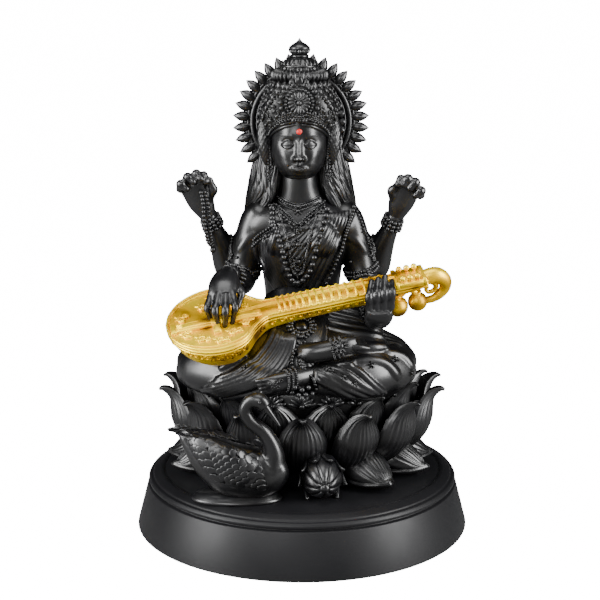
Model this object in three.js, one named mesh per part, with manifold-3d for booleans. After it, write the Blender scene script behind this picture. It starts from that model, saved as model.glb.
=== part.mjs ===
// A seated four-armed goddess on a lotus, playing a long lute called a veena, with a swan at the lotus's
// foot, on a round turned plinth. Millimetres, +Z up, the front faces -Y, and the origin is the centre of
// the plinth's underside.
//
// The figure and its lotus are one casting. The swan and the veena are castings of their own, and the
// plinth is a turned block. As an icon maker lays a figure out in equal parts of its height, every place
// on the figure is given in parts, and so are the swan's and the veena's in parts of their own lengths.
import * as THREE from "three";
import { mergeVertices } from "three/addons/utils/BufferGeometryUtils.js";
import { LoftGeometry } from "three/addons/geometries/LoftGeometry.js";
import Module from "manifold-3d";

const wasm = await Module();
wasm.setup();

// Driving dimensions
const PLINTH_DIAMETER = 200; // at the foot of the flared wall
const PLINTH_TOP_DIAMETER = 185.6; // over the bead above the wall
const PLINTH_FLOOR_DIAMETER = 169.6; // the flat floor that the castings stand on
const PLINTH_HEIGHT = 34.4;
const PLINTH_BEAD = 3.6; // height of the bead under the sloping rim
const PLINTH_GROOVE = 1.3; // depth of the groove under the bead
const FIGURE_HEIGHT = 255.6; // from the plinth's floor to the tip of the crown
const VEENA_LENGTH = 166; // from the end of the bowl to the outside of the scroll
const SWAN_LENGTH = 63.5; // from the tip of the tail to the breast
const CASTING_GAP = 0.3; // between two castings that touch

const PLINTH_SIDES = 32;
const HEIGHT_PARTS = 255.6;
const VEENA_PARTS = 166;
const SWAN_PARTS = 63.5;
const FULL_TURN = 2 * Math.PI;
const DEGREE = Math.PI / 180;

// A closed three.js geometry as a manifold-3d solid that faces outwards.
function solid(geometry) {
  const bare = new THREE.BufferGeometry().copy(geometry);
  bare.deleteAttribute("normal");
  bare.deleteAttribute("uv");
  const merged = mergeVertices(bare, 1e-4);
  const corners = merged.index.array;
  const faces = [];
  for (let i = 0; i < corners.length; i += 3) {
    const [a, b, c] = corners.slice(i, i + 3);
    if (a !== b && b !== c && c !== a) faces.push([a, b, c]);
  }
  const made = (list) =>
    new wasm.Manifold(
      new wasm.Mesh({
        numProp: 3,
        vertProperties: merged.attributes.position.array,
        triVerts: new Uint32Array(list.flat()),
      }),
    );
  const shape = made(faces);
  return shape.volume() > 0 ? shape : made(faces.map(([a, b, c]) => [a, c, b]));
}

function join(solids) {
  return solids.reduce((whole, piece) => whole.add(piece));
}

function meshOf(name, shape, material) {
  const { vertProperties, triVerts } = shape.getMesh();
  const geometry = new THREE.BufferGeometry();
  geometry.setAttribute("position", new THREE.BufferAttribute(vertProperties, 3));
  geometry.setIndex(new THREE.BufferAttribute(triVerts, 1));
  const flat = geometry.toNonIndexed();
  flat.computeVertexNormals();
  const mesh = new THREE.Mesh(flat, material);
  mesh.name = name;
  return mesh;
}

// A sculptor works in parts of a casting: `unit` is one part in millimetres, and `place` is the matrix
// that puts the casting's own frame in the statue's.
function sculptor(unit, place = new THREE.Matrix4()) {
  const vector = ([x, y, z = 0]) => new THREE.Vector3(x, y, z).multiplyScalar(unit);
  const smooth = (points) => new THREE.CatmullRomCurve3(points.map(vector));
  const finished = (geometry) => solid(geometry.applyMatrix4(place));

  // A form is a skin carried along a smooth line. Each station is [x, y, z, wide, deep], where wide is the
  // half-width towards `across` and deep is the half-width at right angles to it. The form answers with
  // the point of its skin at t along the line and at an angle round it, raised by `lift` parts. `outline`
  // gives the section's point for an angle and for the section's width over its depth.
  function form(stations, across = [1, 0, 0], outline = (a) => [Math.cos(a), Math.sin(a)]) {
    const line = smooth(stations);
    const girth = smooth(stations.map(([, , , wide, deep]) => [wide, deep]));
    const side = new THREE.Vector3(...across);
    return (t, angle, lift = 0) => {
      const along = line.getTangent(t);
      const n = side.clone().addScaledVector(along, -side.dot(along)).normalize();
      const b = new THREE.Vector3().crossVectors(along, n);
      const size = girth.getPoint(t);
      const [c, s] = outline(angle, size.x / size.y);
      return line
        .getPoint(t)
        .addScaledVector(n, (size.x + lift * unit) * c)
        .addScaledVector(b, (size.y + lift * unit) * s);
    };
  }

  function loft(sections) {
    return finished(new LoftGeometry(sections, { capStart: true, capEnd: true }));
  }

  function skin(shape, sides, steps) {
    const sections = [];
    for (let i = 0; i <= steps; i++) {
      const ring = [];
      for (let j = 0; j < sides; j++) ring.push(shape(i / steps, (j / sides) * FULL_TURN));
      sections.push(ring);
    }
    return loft(sections);
  }

  const body = (stations, sides, steps, across, outline) =>
    skin(form(stations, across, outline), sides, steps);

  // Cloth over a form: ridges run along it and wind round it by `twist` turns.
  function cloth(shape, ridges, steps, height, twist = 0) {
    const folded = (t, angle) => shape(t, angle + twist * FULL_TURN * t, height * Math.cos(ridges * angle));
    return skin(folded, 2 * ridges, steps);
  }

  // A strand is round, with its radius in the fourth place of each point: a finger, a lock or a fold.
  function strand(points, sides = 4, steps = points.length) {
    const line = smooth(points);
    const radius = smooth(points.map(([, , , r]) => [r, 0]));
    const frames = line.computeFrenetFrames(steps, false);
    const sections = frames.normals.map((normal, i) => {
      const t = line.getUtoTmapping(i / steps);
      const r = radius.getPoint(t).x;
      const ring = [];
      for (let j = 0; j < sides; j++) {
        const angle = (j / sides) * FULL_TURN;
        ring.push(
          line
            .getPoint(t)
            .addScaledVector(normal, r * Math.cos(angle))
            .addScaledVector(frames.binormals[i], r * Math.sin(angle)),
        );
      }
      return ring;
    });
    return loft(sections);
  }

  // A turned shape about +Z from [radius, height] pairs, which start and end on the axis.
  function turned(profile, sides, [x, y, z] = [0, 0, 0], [wide, deep] = [1, 1]) {
    const points = profile.map(([r, h]) => new THREE.Vector2(r, h).multiplyScalar(unit));
    const geometry = new THREE.LatheGeometry(points, sides).rotateX(Math.PI / 2);
    return finished(geometry.scale(wide, deep, 1).translate(x * unit, y * unit, z * unit));
  }

  // The same shape lying with its axis towards the front.
  function medallion(profile, sides, [x, y, z]) {
    const points = profile.map(([r, h]) => new THREE.Vector2(r, h).multiplyScalar(unit));
    const geometry = new THREE.LatheGeometry(points, sides).rotateX(Math.PI);
    return finished(geometry.translate(x * unit, y * unit, z * unit));
  }

  function ball([x, y, z, r], sides = 8, rings = 5) {
    const geometry = new THREE.SphereGeometry(r * unit, sides, rings).rotateX(Math.PI / 2);
    return finished(geometry.translate(x * unit, y * unit, z * unit));
  }

  function block(length, width, height, [x, y, z]) {
    const geometry = new THREE.BoxGeometry(length * unit, width * unit, height * unit);
    return finished(geometry.translate(x * unit, y * unit, z * unit));
  }

  return { unit, form, loft, skin, body, cloth, strand, turned, medallion, ball, block, finished };
}

// The plinth: a flared wall, a groove, a bead, and a rim that slopes in to the flat floor.
function plinth() {
  const bead = PLINTH_TOP_DIAMETER / 2;
  const wallTop = PLINTH_HEIGHT - 2 * PLINTH_BEAD;
  const profile = [
    [0, 0],
    [PLINTH_DIAMETER / 2, 0],
    [bead + 0.4, wallTop - 0.6],
    [bead - PLINTH_GROOVE, wallTop],
    [bead - PLINTH_GROOVE, wallTop + 0.9],
    [bead, wallTop + 0.9],
    [bead - 0.7, wallTop + 0.9 + PLINTH_BEAD],
    [PLINTH_FLOOR_DIAMETER / 2, PLINTH_HEIGHT],
    [0, PLINTH_HEIGHT],
  ].map(([r, h]) => new THREE.Vector2(r, h));
  return solid(new THREE.LatheGeometry(profile, PLINTH_SIDES).rotateX(Math.PI / 2));
}

const { unit, form, skin, body, cloth, strand, turned, medallion, finished } = sculptor(
  FIGURE_HEIGHT / HEIGHT_PARTS,
);

// The lotus is an oval: a petal's place is a direction in degrees from the front and a share of the oval.
const LOTUS = { wide: 87, deep: 68, back: 4, seat: 58 };
const UPRIGHT_PETALS = 14;

function lotusPlace(degrees, share, z) {
  const a = degrees * DEGREE;
  return [LOTUS.wide * share * Math.sin(a), LOTUS.back - LOTUS.deep * share * Math.cos(a), z];
}

// A petal is a blade whose edges cup to one side: each station is [share of the oval, height, half-width,
// half-thickness].
function petal(degrees, stations, cup) {
  const a = degrees * DEGREE;
  const across = [LOTUS.wide * Math.cos(a), LOTUS.deep * Math.sin(a), 0];
  const blade = (angle, slenderness) => {
    const c = Math.sin(angle);
    return [c, cup * slenderness * c * c - Math.cos(angle)];
  };
  const line = stations.map(([share, z, wide, deep]) => [...lotusPlace(degrees, share, z), wide, deep]);
  return body(line, 4, stations.length - 1, across, blade);
}

const OUTER_PETAL = [
  [0.48, 11, 8, 4],
  [0.78, 20, 13, 3],
  [0.87, 35, 13.5, 2.6],
  [0.92, 45, 9, 1.8],
  [1, 51, 0.8, 0.5],
];
const INNER_PETAL = [
  [0.66, 38, 12, 4.5],
  [0.78, 50, 9.5, 2],
  [0.86, 57.5, 0.8, 0.5],
];
const LOW_PETAL = [
  [0.44, 9, 9, 5],
  [0.66, 11, 14, 4.6],
  [0.84, 9.5, 11.5, 3.8],
  [0.96, 6, 0.8, 0.6],
];
const LOW_PETAL_DIRECTIONS = [38, 64, 92, 120, 150, 180, 210, 240, 268, 292];

function lotus() {
  const oval = [1, LOTUS.deep / LOTUS.wide];
  const stem = [
    [0, 0],
    [0.55, 0],
    [0.53, 18],
    [0.655, 40],
    [0.735, LOTUS.seat - 2],
    [0.7, LOTUS.seat],
    [0, LOTUS.seat],
  ].map(([share, z]) => [share * LOTUS.wide, z]);
  const step = 360 / UPRIGHT_PETALS;
  const ring = Array.from({ length: UPRIGHT_PETALS }, (_, i) => i * step);
  return join([
    turned(stem, 12, [0, LOTUS.back, 0], oval),
    ...ring.map((degrees) => petal(degrees, OUTER_PETAL, 0.4)),
    ...ring.map((degrees) => petal(degrees + step / 2, INNER_PETAL, 0.3)),
    ...LOW_PETAL_DIRECTIONS.map((degrees) => petal(degrees, LOW_PETAL, -0.4)),
    bud(),
  ]);
}

// The bud leans out over the floor at the front, with a knob at its tip.
function bud() {
  const stations = [
    [9, -40, 14, 7, 7],
    [11, -51, 12.5, 11.6, 11],
    [12, -61, 11.5, 10.6, 10.6],
    [12.6, -68, 10.6, 2.4, 2.4],
    [12.8, -71.5, 10.3, 2.8, 2.8],
    [12.9, -73.5, 10, 0.8, 0.8],
  ];
  return body(stations, 8, 5);
}

// The crossed legs under the cloth, with the shins crossing in front. Each knee's reach is its own.
const KNEE_REACH = { right: -73, left: 66 };
const THIGH = (knee) => [
  [0.12 * knee, 12, 72, 17, 18],
  [0.37 * knee, 6, 73, 18, 19],
  [0.63 * knee, -4, 69.5, 17, 18],
  [0.82 * knee, -12, 65.5, 15, 15.5],
  [0.94 * knee, -18, 63, 11, 10],
  [knee, -20, 62, 3.5, 3],
];
const SHIN = (knee) => [
  [0.92 * knee, -13, 63, 8, 8],
  [0.81 * knee, -23, 66, 13.5, 12],
  [0.6 * knee, -34, 66, 15, 12],
  [0.36 * knee, -42, 66, 12.5, 10.5],
  [0.1 * knee, -47, 66, 7.5, 7.5],
];

function legs() {
  const lap = [
    [0, 10, 56, 51, 37],
    [0, 9, 78, 48, 34],
    [0, 12, 94, 27, 19],
  ];
  const pieces = [body(lap, 10, 2)];
  for (const knee of Object.values(KNEE_REACH)) {
    const twist = 0.16 * Math.sign(knee);
    pieces.push(cloth(form(THIGH(knee), [0, 0, 1]), 5, 5, 0.8, twist));
    pieces.push(cloth(form(SHIN(knee), [0, 0, 1]), 5, 4, 0.9, twist));
  }
  return join([...pieces, ...feet(), apron()]);
}

// The right foot lies on the left calf, and the left foot comes out under the right shin.
function feet() {
  const upper = [
    [0, -42, 81, 5.5, 5.5],
    [13, -48, 83, 5.8, 5.4],
    [25, -48, 85.5, 5.4, 5],
    [34, -44, 85.5, 4.4, 3.6],
    [41, -40, 84, 1.2, 1],
  ];
  const lower = [
    [4, -48, 70, 5.6, 5.6],
    [-9, -54, 69, 5.8, 5.4],
    [-20, -56, 67.5, 6, 4.6],
    [-31, -54, 66, 1.4, 1.2],
  ];
  return [body(upper, 6, 4, [0, 0, 1]), body(lower, 6, 3, [0, 0, 1])];
}

// The pleated cloth that hangs from the waist over the lap, with the girdle's tassel down its middle.
function apron() {
  const panel = form([
    [0, -6, 100, 20, 12],
    [-1, -24, 92, 17, 9],
    [-2, -38, 80, 17, 9],
    [-3, -44, 66, 14, 8],
  ]);
  const tassel = strand([[-1, -30, 95, 2.4], [-1.5, -47, 84, 2.6], [-2, -55, 70, 2.6], [-2, -55, 60, 1.8]]);
  return join([cloth(panel, 6, 3, 0.9), tassel]);
}

const TORSO = [
  [0, 12, 80, 29, 20],
  [0, 12, 92, 26, 17.5],
  [0, 11, 104, 21.5, 14.5],
  [0, 9, 118, 22.5, 15.5],
  [0, 6.5, 132, 25.5, 18.5],
  [0, 7, 143, 27.5, 17.5],
  [0, 9, 152, 27, 14],
  [0, 10, 159, 18, 11.5],
  [0, 8, 165, 10.4, 10],
  [0, 6, 180, 9.6, 9.6],
];

function torso() {
  const chain = (side) => [
    [12 * side, -2, 160, 1.4],
    [16 * side, -9, 146, 2],
    [10 * side, -12.4, 128, 2],
    [0, -7, 112, 1.6],
  ];
  const beads = [-1, 1].map((side) => strand(chain(side), 4, 3));
  const ends = [[11, 5, 163, 2], [8, -2, 158, 2.2]];
  const mirrored = ends.map(([x, ...rest]) => [-x, ...rest]);
  const collar = strand([...mirrored, [0, -7, 151, 3], ...ends.reverse()], 4, 4);
  const pendant = body([[0, -8, 135, 1, 1], [0, -10, 124, 4.2, 3.4], [0, -6.5, 112, 1, 1]], 6, 2);
  return join([cloth(form(TORSO), 6, 7, 0.6, 0.12), ...beads, collar, pendant]);
}

const HEAD = [
  [0, -1, 174.6, 2.6, 2.6],
  [0, -0.5, 177.5, 8, 9.5],
  [0, 1, 182.5, 12.8, 14.4],
  [0, 2.5, 190, 15.8, 17],
  [0, 3.5, 198, 16.6, 18],
  [0, 5, 208, 16, 18],
  [0, 6, 218, 14, 16],
];

function head() {
  const nose = [
    [0, -13.4, 199, 1.2, 1.2],
    [0, -16.6, 190, 2.4, 2],
    [0, -13.6, 186.8, 1.4, 1],
  ];
  const mouth = strand([[-4.4, -11, 184.4, 0.6], [0, -13, 183.6, 1.6], [4.4, -11, 184.4, 0.6]], 4, 2);
  const eyes = [-6.4, 6.4].map((x) =>
    strand([[x - 3.6, -12, 194.3, 0.5], [x, -14.2, 194.8, 1.5], [x + 3.6, -12, 194.3, 0.5]], 4, 2),
  );
  return join([skin(form(HEAD), 10, 6), body(nose, 4, 2), mouth, ...eyes]);
}

// The crown: a dome with a raised lower edge, a ribbed roll, a tapering tier and a knob with a point.
const CROWN = [
  [0, 5.5, 199, 18.6, 20],
  [0, 6, 205, 22, 23],
  [0, 7, 215, 22.6, 23],
  [0, 8, 224, 21, 21],
  [0, 9, 230, 15.4, 15.4],
  [0, 9, 233.6, 16.5, 16.5],
  [0, 9, 238.6, 12.8, 12.8],
  [0, 9, 244.4, 5.6, 5.6],
  [0, 9, 248, 6.6, 6.6],
  [0, 9, 251.4, 5, 5],
  [0, 9, HEIGHT_PARTS, 0.6, 0.6],
];

function crown() {
  const arch = strand([
    [-21.5, -4, 211, 1.8],
    [-14, -10.5, 223, 2],
    [0, -13, 231, 2.4],
    [14, -10.5, 223, 2],
    [21.5, -4, 211, 1.8],
  ], 4, 4);
  const rosette = medallion([[0, -5], [7.4, -5], [7.4, 0], [0, 1.8]], 8, [0, -15.6, 218.5]);
  const flaps = [-1, 1].map((side) =>
    strand([[20 * side, 3, 208, 3.2], [23 * side, 1, 191, 4.6], [21.5 * side, 1, 175, 2]], 5, 2),
  );
  return join([body(CROWN, 10, 10), rosette, arch, ...flaps]);
}

// The halo stands behind the head: a disc with a raised ring, cut round its edge into pointed buds.
const HALO = { y: 15, z: 206.5, rim: 31, shoulder: 34.5, reach: 39.8, buds: 34, lastBud: 13, thick: 3.4 };

function halo() {
  const edge = new THREE.Shape();
  const step = FULL_TURN / HALO.buds;
  const at = (turn, radius) => {
    const r = radius * unit;
    return [r * Math.sin(turn * step), r * Math.cos(turn * step)];
  };
  edge.moveTo(...at(-HALO.lastBud - 1, HALO.rim));
  for (let i = -HALO.lastBud; i <= HALO.lastBud; i++) {
    edge.lineTo(...at(i - 0.4, HALO.shoulder));
    edge.lineTo(...at(i, HALO.reach));
    edge.lineTo(...at(i + 0.4, HALO.shoulder));
  }
  edge.lineTo(...at(HALO.lastBud + 1, HALO.rim));
  const plate = new THREE.ExtrudeGeometry(edge, { depth: HALO.thick * unit, bevelEnabled: false });
  plate.rotateX(Math.PI / 2).translate(0, HALO.y * unit, HALO.z * unit);
  const rim = [[0, -2], [HALO.rim + 0.5, -2], [HALO.rim, 1.6], [HALO.rim - 3.5, 1.2], [0, 0.6]];
  return join([finished(plate), medallion(rim, 17, [0, HALO.y - HALO.thick, HALO.z])]);
}

// The hair falls beside the neck and down the back, under a veil that runs over the shoulders.
function hair() {
  const locks = [];
  for (const side of [-1, 1]) {
    const outer = [
      [17 * side, 10, 198, 4.6],
      [23 * side, 11, 182, 5.2],
      [27 * side, 13, 169, 5],
      [32.6 * side, 16, 156, 2.6],
    ];
    const inner = [[15.5 * side, 4, 188, 3.6], [18 * side, 5, 174, 4], [20 * side, 4, 158, 1.8]];
    locks.push(strand(outer, 5, 3), strand(inner, 4, 2));
  }
  const back = form([
    [0, 16, 218, 17, 8],
    [0, 19, 200, 19, 9],
    [0, 20, 178, 24, 10],
    [0, 22, 158, 30, 9],
    [0, 24, 134, 26, 7],
    [0, 25, 108, 22, 6],
    [0, 26, 84, 20, 5],
  ]);
  return join([cloth(back, 5, 4, 0.6), ...locks]);
}

// Four arms. The rear pair is raised, and the front pair plays the veena. Bracelets are raised bands.
const REAR_UPPER_ARM = (side) => [
  [21 * side, 14, 150, 7, 7],
  [34 * side, 18, 133, 9, 9],
  [44 * side, 21, 114, 5, 5],
];
const REAR_FOREARM = (side) => [
  [42 * side, 21.5, 112, 4, 4],
  [45.2 * side, 20, 119.5, 8.4, 8.4],
  [47.9 * side, 16.5, 132, 7.8, 7.6],
  [51.8 * side, 12.6, 142, 5.8, 5.4],
  [54.3 * side, 10.4, 149, 7.4, 6.8],
  [55.6 * side, 9.2, 153, 5, 4.6],
];
const RIGHT_ARM = [
  [-19, 9, 156, 6, 7],
  [-25.5, 9, 150.5, 10, 10.5],
  [-30.5, 10, 137, 9.8, 10.2],
  [-34, 11, 123, 9.4, 9.8],
  [-36, 7.5, 113.5, 8.6, 8.8],
  [-37.4, -4, 114.5, 7.6, 7.6],
  [-40, -14, 119.5, 6, 6],
  [-41.2, -18.5, 122.4, 7.2, 7],
  [-42.4, -24, 124, 5.2, 4.8],
];
const LEFT_ARM = [
  [19, 9, 156, 6, 7],
  [25.5, 9, 150.5, 10, 10.5],
  [30.5, 10, 137, 9.8, 10.2],
  [34, 11, 123, 9.4, 9.8],
  [36.5, 6.5, 112.5, 8.4, 8.6],
  [38.6, -5, 106, 7.4, 7.4],
  [41, -16.5, 100.5, 5.8, 5.8],
  [41.6, -21, 98.8, 7, 6.8],
  [42.4, -27, 97, 5, 4.6],
];

function arms() {
  const pieces = [body(RIGHT_ARM, 6, 8), body(LEFT_ARM, 6, 8)];
  for (const side of [-1, 1]) {
    pieces.push(body(REAR_UPPER_ARM(side), 6, 2, [0, 1, 0]), body(REAR_FOREARM(side), 6, 5, [0, 1, 0]));
  }
  return join([...pieces, pluckingHand(), stoppingHand(), beadHand(), closedHand()]);
}

// Each finger is a strand from its knuckle through its middle joint to its tip.
const finger = (points) => strand(points, 4, 2);

function pluckingHand() {
  const back = [[-42.4, -24, 123.6, 5.4, 4.6], [-44.2, -33, 122, 8.8, 5.4], [-44.8, -43, 115.5, 9, 4.6]];
  const fingers = [
    [[-51, -39, 115.5, 2.8], [-52.6, -42, 111, 2.6], [-51.5, -40.5, 106.3, 1.8]],
    [[-47.6, -43, 116, 3], [-48.6, -52, 110.5, 2.8], [-45.7, -51, 102, 1.8]],
    [[-43.4, -43, 116, 3.1], [-42.6, -52, 110.5, 2.8], [-41.5, -49, 103.4, 1.8]],
    [[-39, -40, 116, 3], [-36.8, -47, 112, 2.7], [-38, -43.5, 107, 1.8]],
    [[-37.4, -30, 120.5, 3], [-34.6, -36, 116, 2.8], [-36.4, -40, 109, 1.9]],
  ];
  return join([body(back, 6, 2), ...fingers.map(finger)]);
}

function stoppingHand() {
  const back = [[42.4, -26, 97.2, 5.2, 4.6], [43, -36, 98.5, 7.8, 5.4], [43.6, -45, 105.5, 8.2, 4.6]];
  const fingers = [37.8, 41.6, 45.4, 49].map((x, i) =>
    [[x, -44.5, 106, 2.7], [x + 0.4, -47.5, 116, 2.7], [x + 0.8, -38.5, 124.5 + 0.8 * i, 1.9]],
  );
  const thumb = [[48, -30, 100, 3], [50.2, -30, 108, 2.8], [49.4, -29, 117, 2]];
  return join([body(back, 6, 2), finger(thumb), ...fingers.map(finger)]);
}

function beadHand() {
  const palm = [[-55.4, 9.2, 151.5, 4.8, 4.4], [-60, 7, 160, 8.6, 5], [-64, 5.4, 171, 9, 4.6]];
  const fingers = [
    [[-72, 4, 168.5, 3], [-70.5, -2, 172.5, 2.8], [-66.5, -3, 169, 2]],
    [[-67.5, 4.5, 172, 3], [-66.5, -2, 176.5, 2.8], [-62.5, -3.5, 173, 2]],
    [[-63, 5, 173, 2.9], [-61.5, -0.5, 178.5, 2.7], [-58.5, -2.5, 175, 2]],
    [[-55, 6, 161, 3.2], [-51.8, 2.5, 168, 2.8], [-54, 0, 175.5, 2]],
  ];
  const beads = strand([[-59, 1, 168, 1.5], [-57.6, 1, 152, 2], [-56, 2, 137, 2.6], [-51, 8, 138, 2]], 4, 5);
  return join([body(palm, 6, 2, [1, 0, -0.3]), beads, ...fingers.map(finger)]);
}

function closedHand() {
  const palm = [[55.4, 9.4, 151.5, 4.8, 4.4], [58.6, 7, 160, 8.2, 5], [62, 5.4, 169.5, 8.6, 4.8]];
  const fingers = [
    [[70, 4, 165, 3.2], [69.5, -2.5, 168.5, 3], [65.5, -2.5, 165, 2.2]],
    [[66.8, 4.5, 170, 3.2], [66, -3, 173.6, 3], [62.5, -3, 169, 2.2]],
    [[62.2, 5, 172, 3.3], [61.5, -2.5, 175.6, 3], [58.5, -3, 171.5, 2.2]],
    [[54, 6, 161, 3.4], [52.5, 3, 168, 2.9], [56, 0.5, 174, 2]],
  ];
  return join([body(palm, 6, 2, [1, 0, 0.3]), ...fingers.map(finger)]);
}

// The veena lies along its own +X from the bowl to the scroll, with the flat soundboard facing its +Z.
// Its stations have the half-width of the board and the depth of the bowl under it.
const BOWL = [
  [-28.2, 0, 0, 3, 5],
  [-25.5, 0, 0, 12, 10],
  [-18, 0, 0, 21.7, 18.5],
  [-7, 0, 0, 27.3, 24],
  [4, 0, 0, 27.9, 24.8],
  [13, 0, 0, 23.8, 22],
  [20.5, 0, 0, 14, 17.6],
  [28, 0, 0, 7.9, 14.4],
  [38, 0, 0, 7.2, 12.6],
  [100, 0, 0, 7, 10.6],
  [122, 0, 0, 6.6, 7.6],
];
const BOARD_EDGE = 0.9; // the board stands out past the bowl by this much
const SCROLL = [
  [115, 0, -3.4, 4.2],
  [127.5, 0, -1.6, 4.7],
  [132.3, 0, -6, 4.2],
  [132.9, 0, -10.6, 3.4],
  [130.8, 0, -14.8, 2.8],
  [125.8, 0, -18, 2.3],
  [118, 0, -18.4, 2],
];
const GOURDS = [[104, 0, -18.4, 6.2], [116, 0, -17.8, 5.7]];
const GOURD_STEM = [111.5, 0, -7]; // where both stems leave the neck
const GOURD_STEM_RADIUS = 2.4;
const BLOCKS = [
  { size: [48, 6, 3], at: [1, -4, 0.6] }, // the bar under the strings
  { size: [4, 13, 6], at: [-2, -4, 0.4] }, // the bridge
  { size: [15, 15, 3], at: [112, 0, 0.2] }, // the plate under the pegs
];
const FRETS = { count: 11, first: 38, pitch: 4.5, width: 11.4, height: 2 };
const GRIP = 92; // where along the veena the left hand holds it
const GRIP_PLACE = [41.3, -33.1, 118.5]; // and where that is on the figure
const NECK_DIRECTION = [0.976, 0.118, 0.183];
const BOARD_NORMAL = [-0.117, -0.425, 0.898];

function veenaLie() {
  const along = new THREE.Vector3(...NECK_DIRECTION).normalize();
  const across = new THREE.Vector3(...BOARD_NORMAL).cross(along).normalize();
  const up = new THREE.Vector3().crossVectors(along, across);
  return new THREE.Matrix4().makeBasis(along, across, up);
}

// The veena, or with grow above 0 the room that it takes in the casting that holds it. The frets end
// before the hand, so they take no room.
function veena(grow = 0) {
  const step = VEENA_LENGTH / VEENA_PARTS;
  const held = new THREE.Vector3(...GRIP_PLACE).multiplyScalar(unit);
  const place = new THREE.Matrix4()
    .makeTranslation(held)
    .multiply(veenaLie())
    .multiply(new THREE.Matrix4().makeTranslation(-GRIP * step, 0, 0));
  const v = sculptor(step, place);
  const g = grow / step;
  const section = (wide, deep) => [
    [wide + g, g],
    [wide + g, -1.6 - g],
    [wide - BOARD_EDGE + g, -1.6 - g],
    [0.86 * (wide - BOARD_EDGE) + g, -0.5 * deep - g],
    [0.5 * (wide - BOARD_EDGE), -0.87 * deep - g],
    [0, -deep - g],
  ];
  const rings = BOWL.map(([x, , , wide, deep], i) => {
    const half = section(wide, deep);
    const other = half.slice(0, -1).map(([y, z]) => [-y, z]);
    const end = i === 0 ? -g : i === BOWL.length - 1 ? g : 0;
    const ring = [...other, ...half.reverse()];
    return ring.map(([y, z]) => new THREE.Vector3(x + end, y, z).multiplyScalar(step));
  });
  const wider = ([x, y, z, r]) => [x, y, z, r + g];
  const stemmed = ([x, y, z]) => [x, y, z, GOURD_STEM_RADIUS + g];
  const box = ({ size, at }) => v.block(...size.map((length) => length + 2 * g), at);
  return join([
    v.loft(rings),
    v.strand(SCROLL.map(wider), 5, 7),
    ...GOURDS.map((gourd) => v.ball(wider(gourd), 6, 4)),
    ...GOURDS.map(([x, y, z]) => v.strand([GOURD_STEM, [x, y, z]].map(stemmed), 4, 1)),
    ...(grow ? [] : [fretboard(v)]),
    ...BLOCKS.map(box),
  ]);
}

// The frets stand on one long strip, whose side view is a row of teeth.
function fretboard(v) {
  const { count, first, pitch, width, height } = FRETS;
  const end = first + count * pitch;
  const comb = new THREE.Shape().moveTo((first - 1) * v.unit, -v.unit);
  for (let i = 0; i < count; i++) {
    const x = first + i * pitch;
    comb.lineTo(x * v.unit, 0.4 * v.unit);
    comb.lineTo((x + 0.8) * v.unit, height * v.unit);
    comb.lineTo((x + 2) * v.unit, 0.4 * v.unit);
  }
  comb.lineTo(end * v.unit, -v.unit);
  const depth = width * v.unit;
  const strip = new THREE.ExtrudeGeometry(comb, { depth, bevelEnabled: false });
  return v.finished(strip.translate(0, 0, -depth / 2).rotateX(Math.PI / 2));
}

// The swan: its own origin is the middle of its foot, with its breast towards +X and its tail towards -X.
const SWAN_PLACE = [-36, -60.5]; // on the floor of the plinth, in parts of the figure's height

function swan(grow = 0) {
  const step = SWAN_LENGTH / SWAN_PARTS;
  const floor = new THREE.Vector3(...SWAN_PLACE, 0).multiplyScalar(unit);
  const s = sculptor(step, new THREE.Matrix4().makeTranslation(floor));
  const g = grow / step;
  const grown = (stations) => stations.map(([x, y, z, ...sizes]) => [x, y, z, ...sizes.map((r) => r + g)]);
  const trunk = grown([
    [-36, 10, 40, 1.6, 1.6],
    [-27, 7, 32, 7.5, 7],
    [-16, 3, 24, 13, 11],
    [-4, 0, 18, 16, 13],
    [9, -1.5, 16.4, 15.6, 13],
    [18.6, -3.5, 18.5, 13, 11],
    [25.6, -5, 22, 6.5, 5.5],
    [27.5, -5, 23, 1.5, 1.5],
  ]);
  const neck = grown([
    [18.6, -4, 20, 9],
    [19.4, -5.4, 30, 6.2],
    [15, -7, 41, 4.6],
    [7, -8.6, 50, 4],
    [4.4, -9.6, 58, 3.5],
    [9.4, -10.4, 64, 3.6],
    [15.4, -11, 63, 4.4],
    [20.4, -12.6, 57.6, 2.8],
    [25.4, -14.6, 51, 0.8],
  ]);
  const foot = [[0, 0], [26 + g, 0], [26 + g, 2], [23, 4.5 + g], [0, 4.5 + g]];
  const wings = [-1, 1].map((side) =>
    s.body(
      grown([
        [-31, 8 + 3 * side, 37, 3, 1.4],
        [-16, 2.5 + 9.5 * side, 27, 9, 3.4],
        [-2, 12 * side, 21.5, 10.5, 4],
        [12, -2 + 10.5 * side, 19, 5, 2.6],
      ]),
      6,
      3,
      [0, 0, 1],
    ),
  );
  return join([
    s.body(trunk, 9, 7, [0, 0, 1]),
    s.strand(neck, 5, 10),
    s.turned(foot, 10, [-1, 0, 0], [1, 0.5]),
    ...wings,
  ]).trimByPlane([0, 0, 1], 0);
}

const figureOnLotus = join([lotus(), legs(), torso(), hair(), head(), crown(), halo(), arms()])
  .trimByPlane([0, 0, 1], 0)
  .subtract(veena(CASTING_GAP))
  .subtract(swan(CASTING_GAP));

const blackResin = new THREE.MeshStandardMaterial({ color: 0x17171a, roughness: 0.34, metalness: 0 });
const plinthPaint = new THREE.MeshStandardMaterial({ color: 0x3b3b3e, roughness: 0.42, metalness: 0.3 });
const goldPaint = new THREE.MeshStandardMaterial({ color: 0xd9a930, roughness: 0.38, metalness: 0.75 });

const castings = new THREE.Group();
castings.position.z = PLINTH_HEIGHT;
castings.add(meshOf("figure_on_lotus", figureOnLotus, blackResin));
castings.add(meshOf("swan", swan(), blackResin));
castings.add(meshOf("veena", veena(), goldPaint));

const statue = new THREE.Group();
statue.add(meshOf("plinth", plinth(), plinthPaint), castings);

export default statue;
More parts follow.
